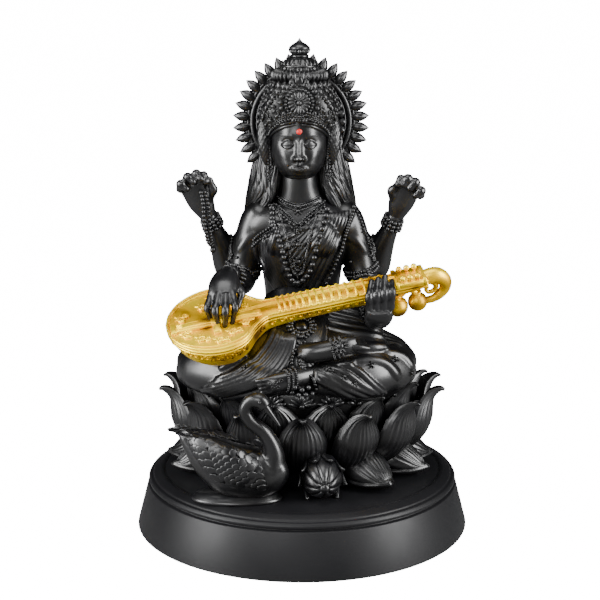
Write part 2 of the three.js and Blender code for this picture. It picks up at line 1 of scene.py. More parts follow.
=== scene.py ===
# %% [markdown]
# # A seated goddess with a veena, cast in black resin
# The real ornament is four castings: a turned plinth, the figure on her lotus, a swan and a gold veena.
# Cast resin keeps every bead and fold of its clay model, so nearly all of what the eye sees is shape, and
# the finish is one semi-gloss black. So this lesson spends its effort on surfaces worked out with numpy
# and keeps the materials few.

import bpy
import numpy as np
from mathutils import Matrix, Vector
from mathutils.bvhtree import BVHTree


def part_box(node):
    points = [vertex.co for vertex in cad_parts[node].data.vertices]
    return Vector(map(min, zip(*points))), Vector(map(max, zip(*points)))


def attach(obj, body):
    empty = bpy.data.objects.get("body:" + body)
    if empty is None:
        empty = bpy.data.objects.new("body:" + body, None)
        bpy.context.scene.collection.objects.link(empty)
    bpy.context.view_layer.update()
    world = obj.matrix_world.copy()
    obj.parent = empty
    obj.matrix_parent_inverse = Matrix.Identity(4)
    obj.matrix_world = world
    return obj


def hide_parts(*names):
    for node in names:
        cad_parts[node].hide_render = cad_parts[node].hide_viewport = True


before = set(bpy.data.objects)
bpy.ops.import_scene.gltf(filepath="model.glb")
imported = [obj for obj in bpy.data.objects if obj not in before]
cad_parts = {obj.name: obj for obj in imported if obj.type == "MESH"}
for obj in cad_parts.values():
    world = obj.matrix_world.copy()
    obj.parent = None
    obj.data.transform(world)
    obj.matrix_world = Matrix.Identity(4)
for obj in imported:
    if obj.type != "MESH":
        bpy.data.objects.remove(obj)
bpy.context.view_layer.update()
MM = 0.001
PLINTH_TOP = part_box("plinth")[1][2] / MM

# %% [markdown]
# ## The camera
# The photographer stood a long way back with a long lens, a little above the figure and tilted down, so
# the plinth's rim reads as a flat ellipse. The distances are millimetres from the plinth's centre, and the
# frame is square.

# %% Camera
CAMERA_PLACE = (-1.2, -872.0, 338.0)
CAMERA_TILT = 13.0
LENS = 90.4
SENSOR = 36.0

lens = bpy.data.cameras.new("camera")
lens.lens, lens.sensor_width = LENS, SENSOR
lens.clip_start = 0.01
camera = bpy.data.objects.new("camera", lens)
camera.location = [c * MM for c in CAMERA_PLACE]
camera.rotation_euler = (np.radians(90 - CAMERA_TILT), 0, 0)
bpy.context.collection.objects.link(camera)
bpy.context.scene.camera = camera
print("camera", CAMERA_TILT, "degrees down")

# %% [markdown]
# ## Colours and shader nodes
# Artists pick colours as sRGB hex, while shaders work in linear light, so one function turns one into the
# other. A second small function adds any node with its options and its inputs, which keeps each material
# down to the few lines that say what is special about it.

# %% Two helpers for materials
def linear(colour):
    """Linear red, green, blue and alpha of an sRGB hex colour: below 0.04045 a channel is divided by
    12.92, and above it is (c + 0.055) / 1.055 raised to 2.4."""
    c = np.array([int(colour[i:i + 2], 16) for i in (1, 3, 5)]) / 255
    return (*np.where(c <= 0.04045, c / 12.92, ((c + 0.055) / 1.055) ** 2.4), 1.0)


def add_node(tree, kind, sockets=(), **options):
    """Adds a node, sets its options, and gives each named input a value or a link."""
    made = tree.nodes.new(kind)
    for name, value in options.items():
        setattr(made, name, value)
    for name, value in dict(sockets).items():
        if isinstance(value, bpy.types.NodeSocket):
            tree.links.new(value, made.inputs[name])
        else:
            made.inputs[name].default_value = value
    return made


def new_material(name):
    """An empty node material with its Principled shader, which is joined to the output."""
    made = bpy.data.materials.new(name)
    made.use_nodes = True
    tree = made.node_tree
    tree.nodes.clear()
    shader = add_node(tree, "ShaderNodeBsdfPrincipled")
    add_node(tree, "ShaderNodeOutputMaterial", {"Surface": shader.outputs["BSDF"]})
    return made, tree, shader


# %% [markdown]
# ## Black resin
# Polyester resin filled with stone dust is cast in a silicone mould, sprayed black and rubbed back. What
# the eye gets is a deep black with a soft, broad shine and a faint orange-peel in the spray. On top of
# that the colour is a shade greyer on edges, partly wear where the cloth has rubbed them and partly a
# painted sheen where raised parts would catch the light, and a little blacker in hollows, which is
# painted shade. Edges and hollows come from the surface's own curvature, which the Geometry node gives
# as pointiness. A texture painted by hand would do as well, but it would have to be made again for every
# change of shape.

# %% Black resin material
SPRAY_GRAIN = 0.5  # mm, the orange-peel of the sprayed coat
WEAR_AND_SHEEN_PATCH = 22.0  # mm, how far one patch of rubbed wear and painted sheen reaches


def ramp(tree, value, stops):
    """A colour ramp read at `value`, from (place, hex colour) pairs."""
    made = add_node(tree, "ShaderNodeValToRGB", {"Fac": value})
    for stop, (place, colour) in zip(made.color_ramp.elements, stops):
        stop.position, stop.color = place, linear(colour)
    return made.outputs["Color"]


def span(tree, value, low, high, to_low, to_high):
    """Maps `value` from low..high to to_low..to_high, and holds it there beyond."""
    sockets = {0: value, 1: low, 2: high, 3: to_low, 4: to_high}
    return add_node(tree, "ShaderNodeMapRange", sockets).outputs[0]


def noise(tree, size_mm, detail=2.0, rough=0.5):
    """Cloudy noise on the piece's own coordinates with blobs about size_mm across."""
    place = add_node(tree, "ShaderNodeTexCoord").outputs["Object"]
    sockets = {"Vector": place, "Scale": 1 / (size_mm * MM), "Detail": detail, "Roughness": rough}
    return add_node(tree, "ShaderNodeTexNoise", sockets).outputs[0]


def resin(name, deep, plain, edge_wear_and_sheen, low_gloss, high_gloss):
    """Sprayed resin: `deep` in hollows, which is painted shade, `plain` on the flat, and the third colour on
    edges, which is partly rubbed wear and partly painted sheen, with its roughness between the two gloss
    values from patch to patch."""
    made, tree, shader = new_material(name)
    curve = add_node(tree, "ShaderNodeNewGeometry").outputs["Pointiness"]
    # The mask is pointiness times cloudy noise: high on edges, where the lighter colour is partly rubbed wear
    # and partly painted sheen, and low in hollows, where the darker colour is painted shade.
    wear_sheen_and_shade = add_node(tree, "ShaderNodeMath", {0: curve, 1: noise(tree, WEAR_AND_SHEEN_PATCH)}, operation="MULTIPLY")
    patch = span(tree, wear_sheen_and_shade.outputs[0], 0.18, 0.34, 0.0, 1.0)
    colour = ramp(tree, patch, [(0.0, deep), (1.0, edge_wear_and_sheen)])
    tree.nodes[-1].color_ramp.elements.new(0.42).color = linear(plain)
    tree.links.new(colour, shader.inputs["Base Color"])
    gloss = span(tree, noise(tree, WEAR_AND_SHEEN_PATCH / 2, 3.0), 0.3, 0.7, low_gloss, high_gloss)
    tree.links.new(gloss, shader.inputs["Roughness"])
    sockets = {"Height": noise(tree, SPRAY_GRAIN), "Strength": 0.12, "Distance": 0.02 * MM}
    tree.links.new(add_node(tree, "ShaderNodeBump", sockets).outputs[0], shader.inputs["Normal"])
    return made, shader


# Black resin: #020202 in hollows is painted shade, and #0e0e10 on edges is partly rubbed wear, partly painted
# sheen.
black_resin, shader = resin("sprayed_black_resin", "#020202", "#040405", "#0e0e10", 0.43, 0.29)
shader.inputs["Specular IOR Level"].default_value = 0.5
shader.inputs["Coat Weight"].default_value = 0.18
shader.inputs["Coat Roughness"].default_value = 0.2
print("made", black_resin.name)

# %% [markdown]
# ## Gold, grey and red
# The veena is the same resin under gold paint: metal flake in lacquer, so it is metallic with a broad
# shine. Its hollows are painted a dark brown, which is painted shade, and its edges a paler yellow, which
# is a painted highlight. The plinth is turned and sprayed a satin dark grey with very fine lathe lines,
# and the mark on the forehead is one dab of red enamel.

# %% Gold paint, plinth paint and red enamel
LATHE_LINE = 0.35  # mm from one turning line to the next, drawn coarse so that it shows

# Gold: #6a4800 in the carving's hollows is painted shade, and #ffdc08 on edges is a painted highlight.
gold_paint, shader = resin("gold_lacquer_on_resin", "#6a4800", "#f0bc00", "#ffdc08", 0.5, 0.38)
shader.inputs["Metallic"].default_value = 0.82

plinth_paint, tree, shader = new_material("turned_satin_grey")
place = add_node(tree, "ShaderNodeTexCoord").outputs["Object"]
away = add_node(tree, "ShaderNodeVectorMath", {0: place, 1: (1, 1, 0)}, operation="MULTIPLY")
radius = add_node(tree, "ShaderNodeVectorMath", {0: away.outputs[0]}, operation="LENGTH")
height = add_node(tree, "ShaderNodeSeparateXYZ", {0: place}).outputs["Z"]
run = add_node(tree, "ShaderNodeMath", {0: radius.outputs["Value"], 1: height}, operation="SUBTRACT")
lines = add_node(tree, "ShaderNodeTexNoise", {"W": run.outputs[0], "Scale": 1 / (LATHE_LINE * MM)},
                 noise_dimensions="1D")
tone = add_node(tree, "ShaderNodeMix", {0: lines.outputs[0]}, data_type="RGBA")
tone.inputs["A"].default_value, tone.inputs["B"].default_value = linear("#08080a"), linear("#111113")
tree.links.new(tone.outputs["Result"], shader.inputs["Base Color"])
tree.links.new(span(tree, noise(tree, 30.0), 0.3, 0.7, 0.42, 0.52), shader.inputs["Roughness"])
shader.inputs["Specular IOR Level"].default_value = 0.25
sockets = {"Height": lines.outputs[0], "Strength": 0.25, "Distance": 0.02 * MM}
tree.links.new(add_node(tree, "ShaderNodeBump", sockets).outputs[0], shader.inputs["Normal"])

red_enamel, tree, shader = new_material("red_enamel")
tree.links.new(ramp(tree, noise(tree, 1.0), [(0.3, "#a81414"), (0.7, "#d82a22")]),
               shader.inputs["Base Color"])
shader.inputs["Roughness"].default_value = 0.3
print("made", gold_paint.name, plinth_paint.name, red_enamel.name)

# %% [markdown]
# ## Surfaces as arrays
# Every carved form here is a grid of points that numpy works out in one go. A smooth line through a few
# stations gives the middle of a limb or a petal, and a ring of angles round it gives its skin. Sculpting
# the same thing by hand would be quicker for one figure, but the numbers can be read, changed and used
# again, and the same stations drive the plain solid.

# %% Smooth lines
def smooth(points, t):
    """Reads a smooth line through the points at each t from 0 to 1. Between two points the line is the
    cubic whose slope at each end is the mean pace of the stretches before and after (centripetal
    Catmull-Rom), where pace is distance over the square root of distance."""
    p = np.asarray(points, float)
    p = np.vstack([2 * p[0] - p[1], p, 2 * p[-1] - p[-2]])
    s = np.clip(t, 0, 1) * (len(p) - 3)
    i = np.minimum(s.astype(int), len(p) - 4)
    w = (s - i)[..., None]
    a, b, c, d = p[i], p[i + 1], p[i + 2], p[i + 3]
    ab, bc, cd = (np.maximum(np.linalg.norm(v - u, axis=-1, keepdims=True), 1e-6) ** 0.5
                  for u, v in ((a, b), (b, c), (c, d)))
    start = ((b - a) / ab - (c - a) / (ab + bc) + (c - b) / bc) * bc
    end = ((c - b) / bc - (d - b) / (bc + cd) + (d - c) / cd) * bc
    return b + w * (start + w * (3 * (c - b) - 2 * start - end + w * (2 * (b - c) + start + end)))


def unit(vectors):
    """Each vector divided by its own length."""
    return vectors / np.maximum(np.linalg.norm(vectors, axis=-1, keepdims=True), 1e-9)


def steps(count):
    """`count` places from 0 to 1 as a column, for the way along a form."""
    return np.linspace(0, 1, count)[:, None]


def turns(count):
    """`count` angles of one whole turn as a row, for the way round a form."""
    return np.linspace(0, 2 * np.pi, count, endpoint=False)[None, :]


# %% Forms, skins and strands
def form(stations, across=(1, 0, 0), outline=None):
    """A skin carried along a smooth line. A station is [x, y, z, wide, deep]. At t along the line and
    `angle` round it the skin is the line's point, plus wide times cos(angle) towards `across`, plus deep
    times sin(angle) at right angles to both. `outline` may give two other distances for those."""
    stations = np.asarray(stations, float)
    side = np.asarray(across, float)

    def shape(t, angle, lift=0.0):
        t, angle = np.broadcast_arrays(t, angle)
        along = unit(smooth(stations[:, :3], t + 1e-3) - smooth(stations[:, :3], t - 1e-3))
        n = unit(side - (along @ side)[..., None] * along)
        b = np.cross(along, n)
        size = smooth(stations[:, 3:5], t)
        wide, deep = size[..., 0] + lift, size[..., 1] + lift
        out = outline(t, angle, wide, deep) if outline else (wide * np.cos(angle), deep * np.sin(angle))
        return smooth(stations[:, :3], t) + out[0][..., None] * n + out[1][..., None] * b

    return shape


def shell(grid):
    """Turns a grid of rings into a closed mesh: a face between neighbours, and a fan at each end ring
    that meets in the ring's middle. A face is four corners, and a triangle says its third one twice."""
    rows, round_ = grid.shape[:2]
    index = np.arange(rows * round_).reshape(rows, round_)
    near = np.roll(index, -1, axis=1)
    quads = np.stack([index[:-1], near[:-1], near[1:], index[1:]], -1).reshape(-1, 4)
    first, last = rows * round_, rows * round_ + 1
    low = np.stack([near[0], index[0], np.full(round_, first), np.full(round_, first)], -1)
    high = np.stack([index[-1], near[-1], np.full(round_, last), np.full(round_, last)], -1)
    points = np.vstack([grid.reshape(-1, 3), grid[0].mean(0), grid[-1].mean(0)])
    return outward(points, np.vstack([quads, low, high]))


def outward(points, faces):
    """The mesh with its faces turned outwards: the volume under all faces, a sum of corner products, is
    negative when they point inwards."""
    a, b, c, d = (points[faces[:, k]] for k in range(4))
    volume = np.einsum("ij,ij->", a, np.cross(b, c)) + np.einsum("ij,ij->", a, np.cross(c, d))
    return points, (faces if volume > 0 else flipped(faces))


def flipped(faces):
    """The same faces walked the other way round, with triangles still ending in a doubled corner."""
    three = faces[:, 2] == faces[:, 3]
    back = faces[:, ::-1].copy()
    back[three] = faces[three][:, [1, 0, 2, 2]]
    return back


def strand(points, sides=10, count=None, flat=1.0):
    """A round strand: a tube of `sides` round a smooth line, with its radius in each point's fourth
    place, and squeezed to `flat` of its width in one direction."""
    points = np.asarray(points, float)
    spread = np.ptp(points[:, :3], axis=0)
    across = np.eye(3)[np.argmin(spread)]
    stations = np.column_stack([points, points[:, 3] * flat])
    return shell(form(stations, across)(steps(count or 6 * len(points)), turns(sides)))


def turned(profile, sides, axis_place=(0, 0, 0), squeeze=(1, 1), lobes=0, depth=0.0):
    """A turned shape about +Z from [radius, height] pairs. With lobes its radius swells by `depth` that
    many times round."""
    profile = np.asarray(profile, float)
    angle = turns(sides)
    radius = profile[:, :1] * (1 + depth * np.cos(lobes * angle))
    grid = np.stack([radius * np.cos(angle) * squeeze[0], radius * np.sin(angle) * squeeze[1],
                     np.broadcast_to(profile[:, 1:], radius.shape)], -1)
    return shell(grid + np.asarray(axis_place, float))


# %% Copies and pieces
def copies(mesh, places, frames=None, sizes=1.0):
    """Puts a copy of a small mesh at each place: copy k is its points times size k, turned into frame k,
    whose rows are the directions of its own x, y and z, and moved to place k."""
    points, faces = mesh
    places = np.asarray(places, float)
    count = len(places)
    frames = np.broadcast_to(np.eye(3) if frames is None else frames, (count, 3, 3))
    sizes = np.broadcast_to(np.asarray(sizes, float), (count,))
    made = np.einsum("nj,kji->kni", points, frames) * sizes[:, None, None] + places[:, None]
    offsets = np.arange(count)[:, None, None] * len(points)
    return made.reshape(-1, 3), (faces[None] + offsets).reshape(-1, 4)


def merged(parts):
    """Several meshes as one."""
    starts = np.cumsum([0] + [len(points) for points, _ in parts])
    return (np.vstack([points for points, _ in parts]),
            np.vstack([faces + start for (_, faces), start in zip(parts, starts)]))


def blender_mesh(name, mesh):
    """A Blender mesh in metres from points in millimetres above the plinth's top."""
    points, faces = mesh
    keep = np.ones(faces.shape, bool)
    keep[:, 3] = faces[:, 3] != faces[:, 2]
    counts = keep.sum(1)
    data = bpy.data.meshes.new(name)
    data.vertices.add(len(points))
    data.vertices.foreach_set("co", ((points + (0, 0, PLINTH_TOP)) * MM).ravel())
    data.loops.add(int(counts.sum()))
    data.loops.foreach_set("vertex_index", faces[keep].astype(np.int32))
    data.polygons.add(len(faces))
    data.polygons.foreach_set("loop_start", np.concatenate([[0], np.cumsum(counts)[:-1]]).astype(np.int32))
    data.update(calc_edges=True)
    data.validate()
    return data


def piece(name, parts, finish, node):
    """A finished piece: its meshes joined, shaded smooth, given its finish and tied to the frame."""
    data = blender_mesh(name, merged(parts))
    data.polygons.foreach_set("use_smooth", np.ones(len(data.polygons), bool))
    data.materials.append(finish)
    made = bpy.data.objects.new(name, data)
    bpy.context.collection.objects.link(made)
    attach(made, "root")
    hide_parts(node)
    triangles = int((np.array([len(p.vertices) for p in data.polygons]) - 2).sum())
    print(name, triangles, "triangles")
    return made


def cast(name, parts):
    """A piece of the black figure."""
    return piece(name, parts, black_resin, "figure_on_lotus")


def thinned(made, share):
    """Keeps a share of a piece's triangles, the most where it is folded and the fewest where it is nearly
    flat."""
    made.modifiers.new("thinned", "DECIMATE").ratio = share


# %% [markdown]
# ## The plinth
# A turned block: a flared wall, a groove, a bead and a rim that slopes in to the flat floor where the
# castings stand. A lathe profile carried round the axis is just what the real lathe did. Each corner of
# the profile is doubled a little apart, so that it catches a thin line of light.

# %% Plinth
def eased(profile, gap=0.35):
    """The profile with each inner corner cut by two points, `gap` before and after it."""
    p = np.asarray(profile, float)
    towards = unit(p[1:] - p[:-1])
    before = p[1:-1] - gap * towards[:-1]
    after = p[1:-1] + gap * towards[1:]
    corner = 0.5 * p[1:-1] + 0.25 * (before + after)
    return np.vstack([p[:1], np.stack([before, corner, after], 1).reshape(-1, 2), p[-1:]])


BEAD = 3.6  # height of the bead under the sloping rim
GROOVE = 1.5  # depth of the groove under the bead
plinth_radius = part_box("plinth")[1][0] / MM
WALL_TOP_RADIUS = 92.8
FLOOR_RADIUS = 84.8
wall_top = PLINTH_TOP - 2 * BEAD
profile = [
    [0.4, 0], [plinth_radius - 0.4, 0], [plinth_radius, 0.5], [WALL_TOP_RADIUS + 0.4, wall_top - 0.6],
    [WALL_TOP_RADIUS - GROOVE, wall_top], [WALL_TOP_RADIUS - GROOVE, wall_top + 0.9],
    [WALL_TOP_RADIUS, wall_top + 1.2], [WALL_TOP_RADIUS + 0.1, wall_top + 2.6],
    [WALL_TOP_RADIUS - 1.0, wall_top + 0.6 + BEAD], [WALL_TOP_RADIUS - 2.6, wall_top + 0.8 + BEAD],
    [WALL_TOP_RADIUS - 3.2, wall_top + 1.8 + BEAD], [FLOOR_RADIUS + 0.6, PLINTH_TOP],
           [FLOOR_RADIUS - 1, PLINTH_TOP],
    [FLOOR_RADIUS - 1.4, PLINTH_TOP - 0.5], [FLOOR_RADIUS - 2, PLINTH_TOP - 0.5],
           [FLOOR_RADIUS - 2.4, PLINTH_TOP],
    [0.4, PLINTH_TOP],
]
plinth_mesh = turned(eased(profile), 160, (0, 0, -PLINTH_TOP))
piece("plinth_turned", [plinth_mesh], plinth_paint, "plinth")
# %% [markdown]
# ## Flesh, folds and beads
# Limbs, hips and chest run into each other with no seam, as clay does under a thumb. So their forms are
# joined on a fine grid of cubes, which takes everything inside any of them, and the steps of the grid are
# eased away. Folds of cloth are then raised along drawn lines, and strings of beads are laid on top. The
# other way, one hand-made skin with all of that in it, is far harder to change.

# %% Fusing forms and raising folds
def fused(parts, cube, rounds):
    """One skin round overlapping meshes: cubes `cube` mm wide, then `rounds` rounds in which each point
    moves half way to the middle of its neighbours."""
    made = bpy.data.objects.new("fusing", blender_mesh("fusing", merged(parts)))
    bpy.context.collection.objects.link(made)
    weld = made.modifiers.new("weld", "REMESH")
    weld.mode, weld.voxel_size = "VOXEL", cube * MM
    ease = made.modifiers.new("ease", "SMOOTH")
    ease.factor, ease.iterations = 0.5, rounds
    skin = made.evaluated_get(bpy.context.evaluated_depsgraph_get()).to_mesh()
    points = np.empty(3 * len(skin.vertices))
    skin.vertices.foreach_get("co", points)
    faces = np.empty(len(skin.loops), np.int32)
    skin.loops.foreach_get("vertex_index", faces)
    bpy.data.objects.remove(made)
    return outward(points.reshape(-1, 3) / MM - (0, 0, PLINTH_TOP), faces.reshape(-1, 4))


def normals(mesh):
    """The direction that each point of a skin faces: the sum of its faces' own directions, each one the
    cross product of the face's diagonals, so that a large face counts for more."""
    points, faces = mesh
    a, b, c, d = (points[faces[:, k]] for k in range(4))
    each = np.cross(c - a, d - b)
    total = np.stack([np.bincount(faces.ravel(), np.repeat(each[:, k], 4), len(points))
                      for k in range(3)], 1)
    return unit(total)


def off_line(points, line):
    """How far each point is from a broken line, and how far along it the nearest place is, from 0 to 1.
    On a stretch from a to b that place is a + w (b - a), with w the point's share along it, held to
    0..1."""
    a, b = line[:-1], line[1:]
    run = b - a
    w = np.einsum("nmk,mk->nm", points[:, None] - a, run) / np.maximum((run ** 2).sum(1), 1e-9)
    w = np.clip(w, 0, 1)
    gap = np.linalg.norm(points[:, None] - a - w[..., None] * run, axis=-1)
    best = gap.argmin(1)
    rows = np.arange(len(points))
    return gap[rows, best], (best + w[rows, best]) / len(run)


def folded(mesh, lines, width, height, sharp=0.5, aim=None):
    """Raises a fold along each line, which is first moved on to the skin: a point at distance d from it
    moves out along its normal by height times (1 - (d / width)^2) to the power `sharp`. A half gives the
    round back and the tight creases of heavy cloth, and two a soft swell. A fold dies away over its last
    tenth, and a higher one hides a lower."""
    points, faces = mesh
    skin = touch_tree(mesh)
    rise = np.zeros(len(points))
    for line in lines:
        path = laid(skin, line, 40, 0, aim)[0]
        near = np.flatnonzero(((points > path.min(0) - width) & (points < path.max(0) + width)).all(1))
        gap, place = off_line(points[near], path)
        fade = np.clip(np.minimum(place, 1 - place) * 10, 0, 1) ** 0.5
        back = np.clip(1 - (gap / (width * (0.4 + 0.6 * fade))) ** 2, 0, 1) ** sharp
        rise[near] = np.maximum(rise[near], fade * back)
    return points + height * rise[:, None] * normals(mesh), faces


def between(first, last, count):
    """A family of lines that change evenly from the first to the last."""
    first, last = smooth(first, steps(12)[:, 0]), smooth(last, steps(12)[:, 0])
    return [first + (last - first) * w for w in np.linspace(0, 1, count)]


# %% Laying things on a skin
def touch_tree(mesh):
    """A search tree over a skin, for finding its nearest place."""
    points, faces = mesh
    return BVHTree.FromPolygons(points.tolist(), [f[:3] if f[2] == f[3] else f for f in faces.tolist()])


def laid(skin, line, count, lift=0.0, aim=None):
    """`count` places along a smooth line, each moved on to the skin and lifted off it, with the skin's
    normals there. A place moves to the nearest skin or, if `aim` is given, straight along that way."""
    found = []
    for p in smooth(line, steps(count)[:, 0]):
        hit = skin.ray_cast(Vector(p - 60 * np.asarray(aim, float)), Vector(aim), 100) if aim else (None,)
        found.append(hit if hit[0] is not None else skin.find_nearest(Vector(p)))
    out = np.array([hit[1] for hit in found])
    return np.array([hit[0] for hit in found]) + lift * out, out


def spaced(line, gap):
    """How many beads fit along a smooth line when the next one is `gap` further on."""
    path = smooth(line, steps(60)[:, 0])
    return max(2, int(round(np.linalg.norm(np.diff(path, axis=0), axis=1).sum() / gap)) + 1)


def ball(sides=7, rings=4):
    """A small ball of radius 1 with few faces, since hundreds of beads are made from it."""
    angle = np.linspace(0, np.pi, rings + 2)[1:-1]
    return turned(np.stack([np.sin(angle), -np.cos(angle)], 1), sides)


def beads(skin, line, radius, gap=None, lift=0.55, aim=None):
    """A string of beads along a line on a skin, each sunk so that `lift` of its radius stands clear."""
    places, _ = laid(skin, line, spaced(line, gap or 1.9 * radius), lift * radius, aim)
    for _ in range(2):  # a taut string spans the hollows between folds
        places[1:-1] = (places[:-2] + 2 * places[1:-1] + places[2:]) / 4
    return copies(SMALL_BALL, places, sizes=radius)


def cord(skin, line, radius, lift=0.3, flat=1.0, count=60, aim=None):
    """A round cord along a line on a skin."""
    places, out = laid(skin, line, count, lift * radius, aim)
    along = unit(np.gradient(places, axis=0))
    side = unit(np.cross(along, out))
    angle = turns(8)[0]
    cos, sin = np.cos(angle)[None, :, None], np.sin(angle)[None, :, None]
    ring = cos * side[:, None] + flat * sin * out[:, None]
    return shell(places[:, None] + radius * ring)


FRONT = (0, 1, 0)  # the way one looks at her from the front
SMALL_BALL = ball()

# %% [markdown]
# ## The lotus seat
# Two rings of upright petals cup the seat, and a lower ring opens flat on the floor. Each petal is a
# spoon: round across, bellied along, ribbed from root to tip, with a raised rim and a small lip where the
# sculptor pinched it outwards. One blade function makes all of them, with its ribs drawn as shares of its
# own width, so that they run together at the tip just as the tool marks do.

# %% One petal
LOTUS_WIDE, LOTUS_DEEP = 87.0, 68.0  # mm, half the lotus across, and fore and aft
LOTUS_BACK = 4.0  # mm, how far its centre lies back
FRONT_DROP = 0.09  # how much lower the front petals stand, as a share of their height
PETAL_SIDES = np.concatenate([np.linspace(-0.5, 0.5, 53, endpoint=False),
                              np.linspace(0.5, 1.5, 7, endpoint=False)]) * np.pi


def blade(cup, ribs, rib_height, rim, outside=1):
    """The outline of a petal, with c = sin(angle) its share of the half width. It bends by cup times wide
    times c squared, is `deep` thick in the middle and nothing at its edges, and its outer side is raised
    by rib_height times |cos(pi ribs c / 2)| and by a rim near |c| = 0.92."""
    def outline(t, angle, wide, deep):
        c, face = np.sin(angle), np.cos(angle)
        middle = np.clip((1 - np.abs(c)) / 0.2, 0, 1) * np.clip(wide / 5, 0, 1) * np.clip(t * 5, 0, 1)
        raised = rib_height * middle * np.abs(np.cos(np.pi * ribs * c / 2)) ** 0.7
        raised = raised + rim * np.exp(-((np.abs(c) - 0.9) / 0.07) ** 2) * np.clip(wide / 3, 0, 1)
        relief = outside * np.where(outside * face > 0, raised, 0)
        return wide * c, cup * wide * c ** 2 - deep * face - relief
    return outline


def on_lotus(degrees, stations):
    """Petal stations for one direction round the seat: [share of the lotus's radius, height, wide, deep]
    becomes [x, y, z, wide, deep], with the ring wider than it is deep, and its front petals a little
    lower than the rest, since they are more open."""
    a = np.radians(degrees)
    s = np.asarray(stations, float)
    low_front = 1 - FRONT_DROP * np.maximum(np.cos(a), 0) ** 2
    return np.stack([LOTUS_WIDE * s[:, 0] * np.sin(a), LOTUS_BACK - LOTUS_DEEP * s[:, 0] * np.cos(a),
                     low_front * s[:, 1], s[:, 2], s[:, 3]], 1)


def petal(degrees, stations, outline, sides=PETAL_SIDES):
    """A petal facing `degrees` round from the front."""
    a = np.radians(degrees)
    side = (LOTUS_WIDE * np.cos(a), LOTUS_DEEP * np.sin(a), 0)
    return shell(form(on_lotus(degrees, stations), side, outline)(steps(23), sides[None, :]))


# %% Three rings of petals
UPRIGHT = 14  # petals in each upright ring
OUTER = [[0.48, 11, 8, 4], [0.70, 15, 12, 3.6], [0.825, 24, 14.2, 3.2], [0.874, 33, 14.2, 2.8],
         [0.884, 40, 11.8, 2.3], [0.896, 45.4, 8.0, 1.9], [0.93, 49.4, 4.8, 1.5], [0.975, 51.2, 2.4, 1.1],
         [1.002, 50.6, 0.8, 0.6]]
INNER = [[0.60, 24, 11, 4.5], [0.715, 37, 13, 3], [0.755, 45, 12.2, 2.4], [0.772, 51, 8, 1.9],
         [0.805, 55.6, 3.2, 1.4], [0.85, 57.6, 1.2, 1.0], [0.87, 57, 0.6, 0.6]]
LOW = [[0.44, 12, 9, 6], [0.60, 15.4, 13.4, 7.4], [0.74, 13.6, 13.8, 6.6], [0.85, 9.6, 10.6, 4.4],
       [0.925, 6.2, 5.4, 2.2], [0.968, 6.6, 1.2, 0.9]]
LOWER_LIP = [[0.5, 3.6, 11, 2.8], [0.70, 3.6, 14.4, 2.6], [0.83, 3.4, 12.4, 2.2], [0.93, 4.6, 6.4, 1.6],
             [0.978, 6.4, 1.2, 0.9]]
LOW_DIRECTIONS = {35: 1.05, 66: 0.97, 92: 0.94, 120: 1, 150: 1, 180: 1, 210: 1, 240: 1, 266: 0.97,
                  290: 0.97}  # reach

rng = np.random.default_rng(7)
turn = 360 / UPRIGHT
upright = blade(0.42, 10, 1.15, 0.6)
outer = [petal(turn * i + rng.uniform(-0.8, 0.8), OUTER, upright) for i in range(UPRIGHT)]
inner = [petal(turn * (i + 0.5), INNER, upright) for i in range(UPRIGHT)]
cast("lotus_outer_petals", outer)
cast("lotus_inner_petals", inner)
low_side, lip_side = blade(-0.3, 11, 1.0, 0.3, -1), blade(0.12, 5, 0.3, 0.6, -1)
low = [petal(d, np.array(LOW) * (r, 1, 1, 1), low_side, PETAL_SIDES + np.pi) for d,
       r in LOW_DIRECTIONS.items()]
lip = [petal(d, np.array(LOWER_LIP) * (r, 1, 1, 1), lip_side, PETAL_SIDES + np.pi) for d,
       r in LOW_DIRECTIONS.items()]
cast("lotus_low_petals", low + lip)

# %% The seed head under her
SEAT = 58.0
drum = [[0.4, 0], [46, 0], [46, 18], [57, 40], [63.5, 56], [61, SEAT], [0.4, SEAT]]
cast("lotus_seed_head", [turned(drum, 112, (0, LOTUS_BACK, 0), (1, LOTUS_DEEP / LOTUS_WIDE), 56, 0.006)])

# %% [markdown]
# ## The bud and the leaves of the seat
# A half-open bud leans out from under the front petals. Its petals are one blade, copied round the bud's
# own axis: nine pressed on the body, nine behind them with their tips flicked out. Round the seat's edge
# the sculptor set small fans of leaves, which are again one leaflet copied.

# %% Bud
BUD_ROOT, BUD_END = np.array([9.0, -40, 14]), np.array([12.9, -73.5, 10.0])
bud_axis = unit(BUD_END - BUD_ROOT)
bud_side = unit(np.cross(bud_axis, (0, 0, 1)))
bud_top = np.cross(bud_side, bud_axis)


def round_bud(mesh, count, first):
    """Copies of a blade round the bud's axis, where the blade's own y runs along it and z points out."""
    a = first + 2 * np.pi * np.arange(count)[:, None] / count
    out = np.cos(a) * bud_top + np.sin(a) * bud_side
    across = np.cross(np.broadcast_to(bud_axis, out.shape), out)
    frames = np.stack([across, np.broadcast_to(bud_axis, out.shape), out], 1)
    return copies(mesh, np.broadcast_to(BUD_ROOT, out.shape), frames)


def small_blade(stations, ribs, every=3):
    """A little petal in its own coordinates, from [along, out, wide, deep], with every third or fourth of
    a big petal's sides."""
    full = [[0, *s] for s in stations]
    outline = blade(-0.22, ribs, 0.35, 0.25, -1)
    return shell(form(full, (1, 0, 0), outline)(steps(48 // every), PETAL_SIDES[None, ::every] + np.pi))


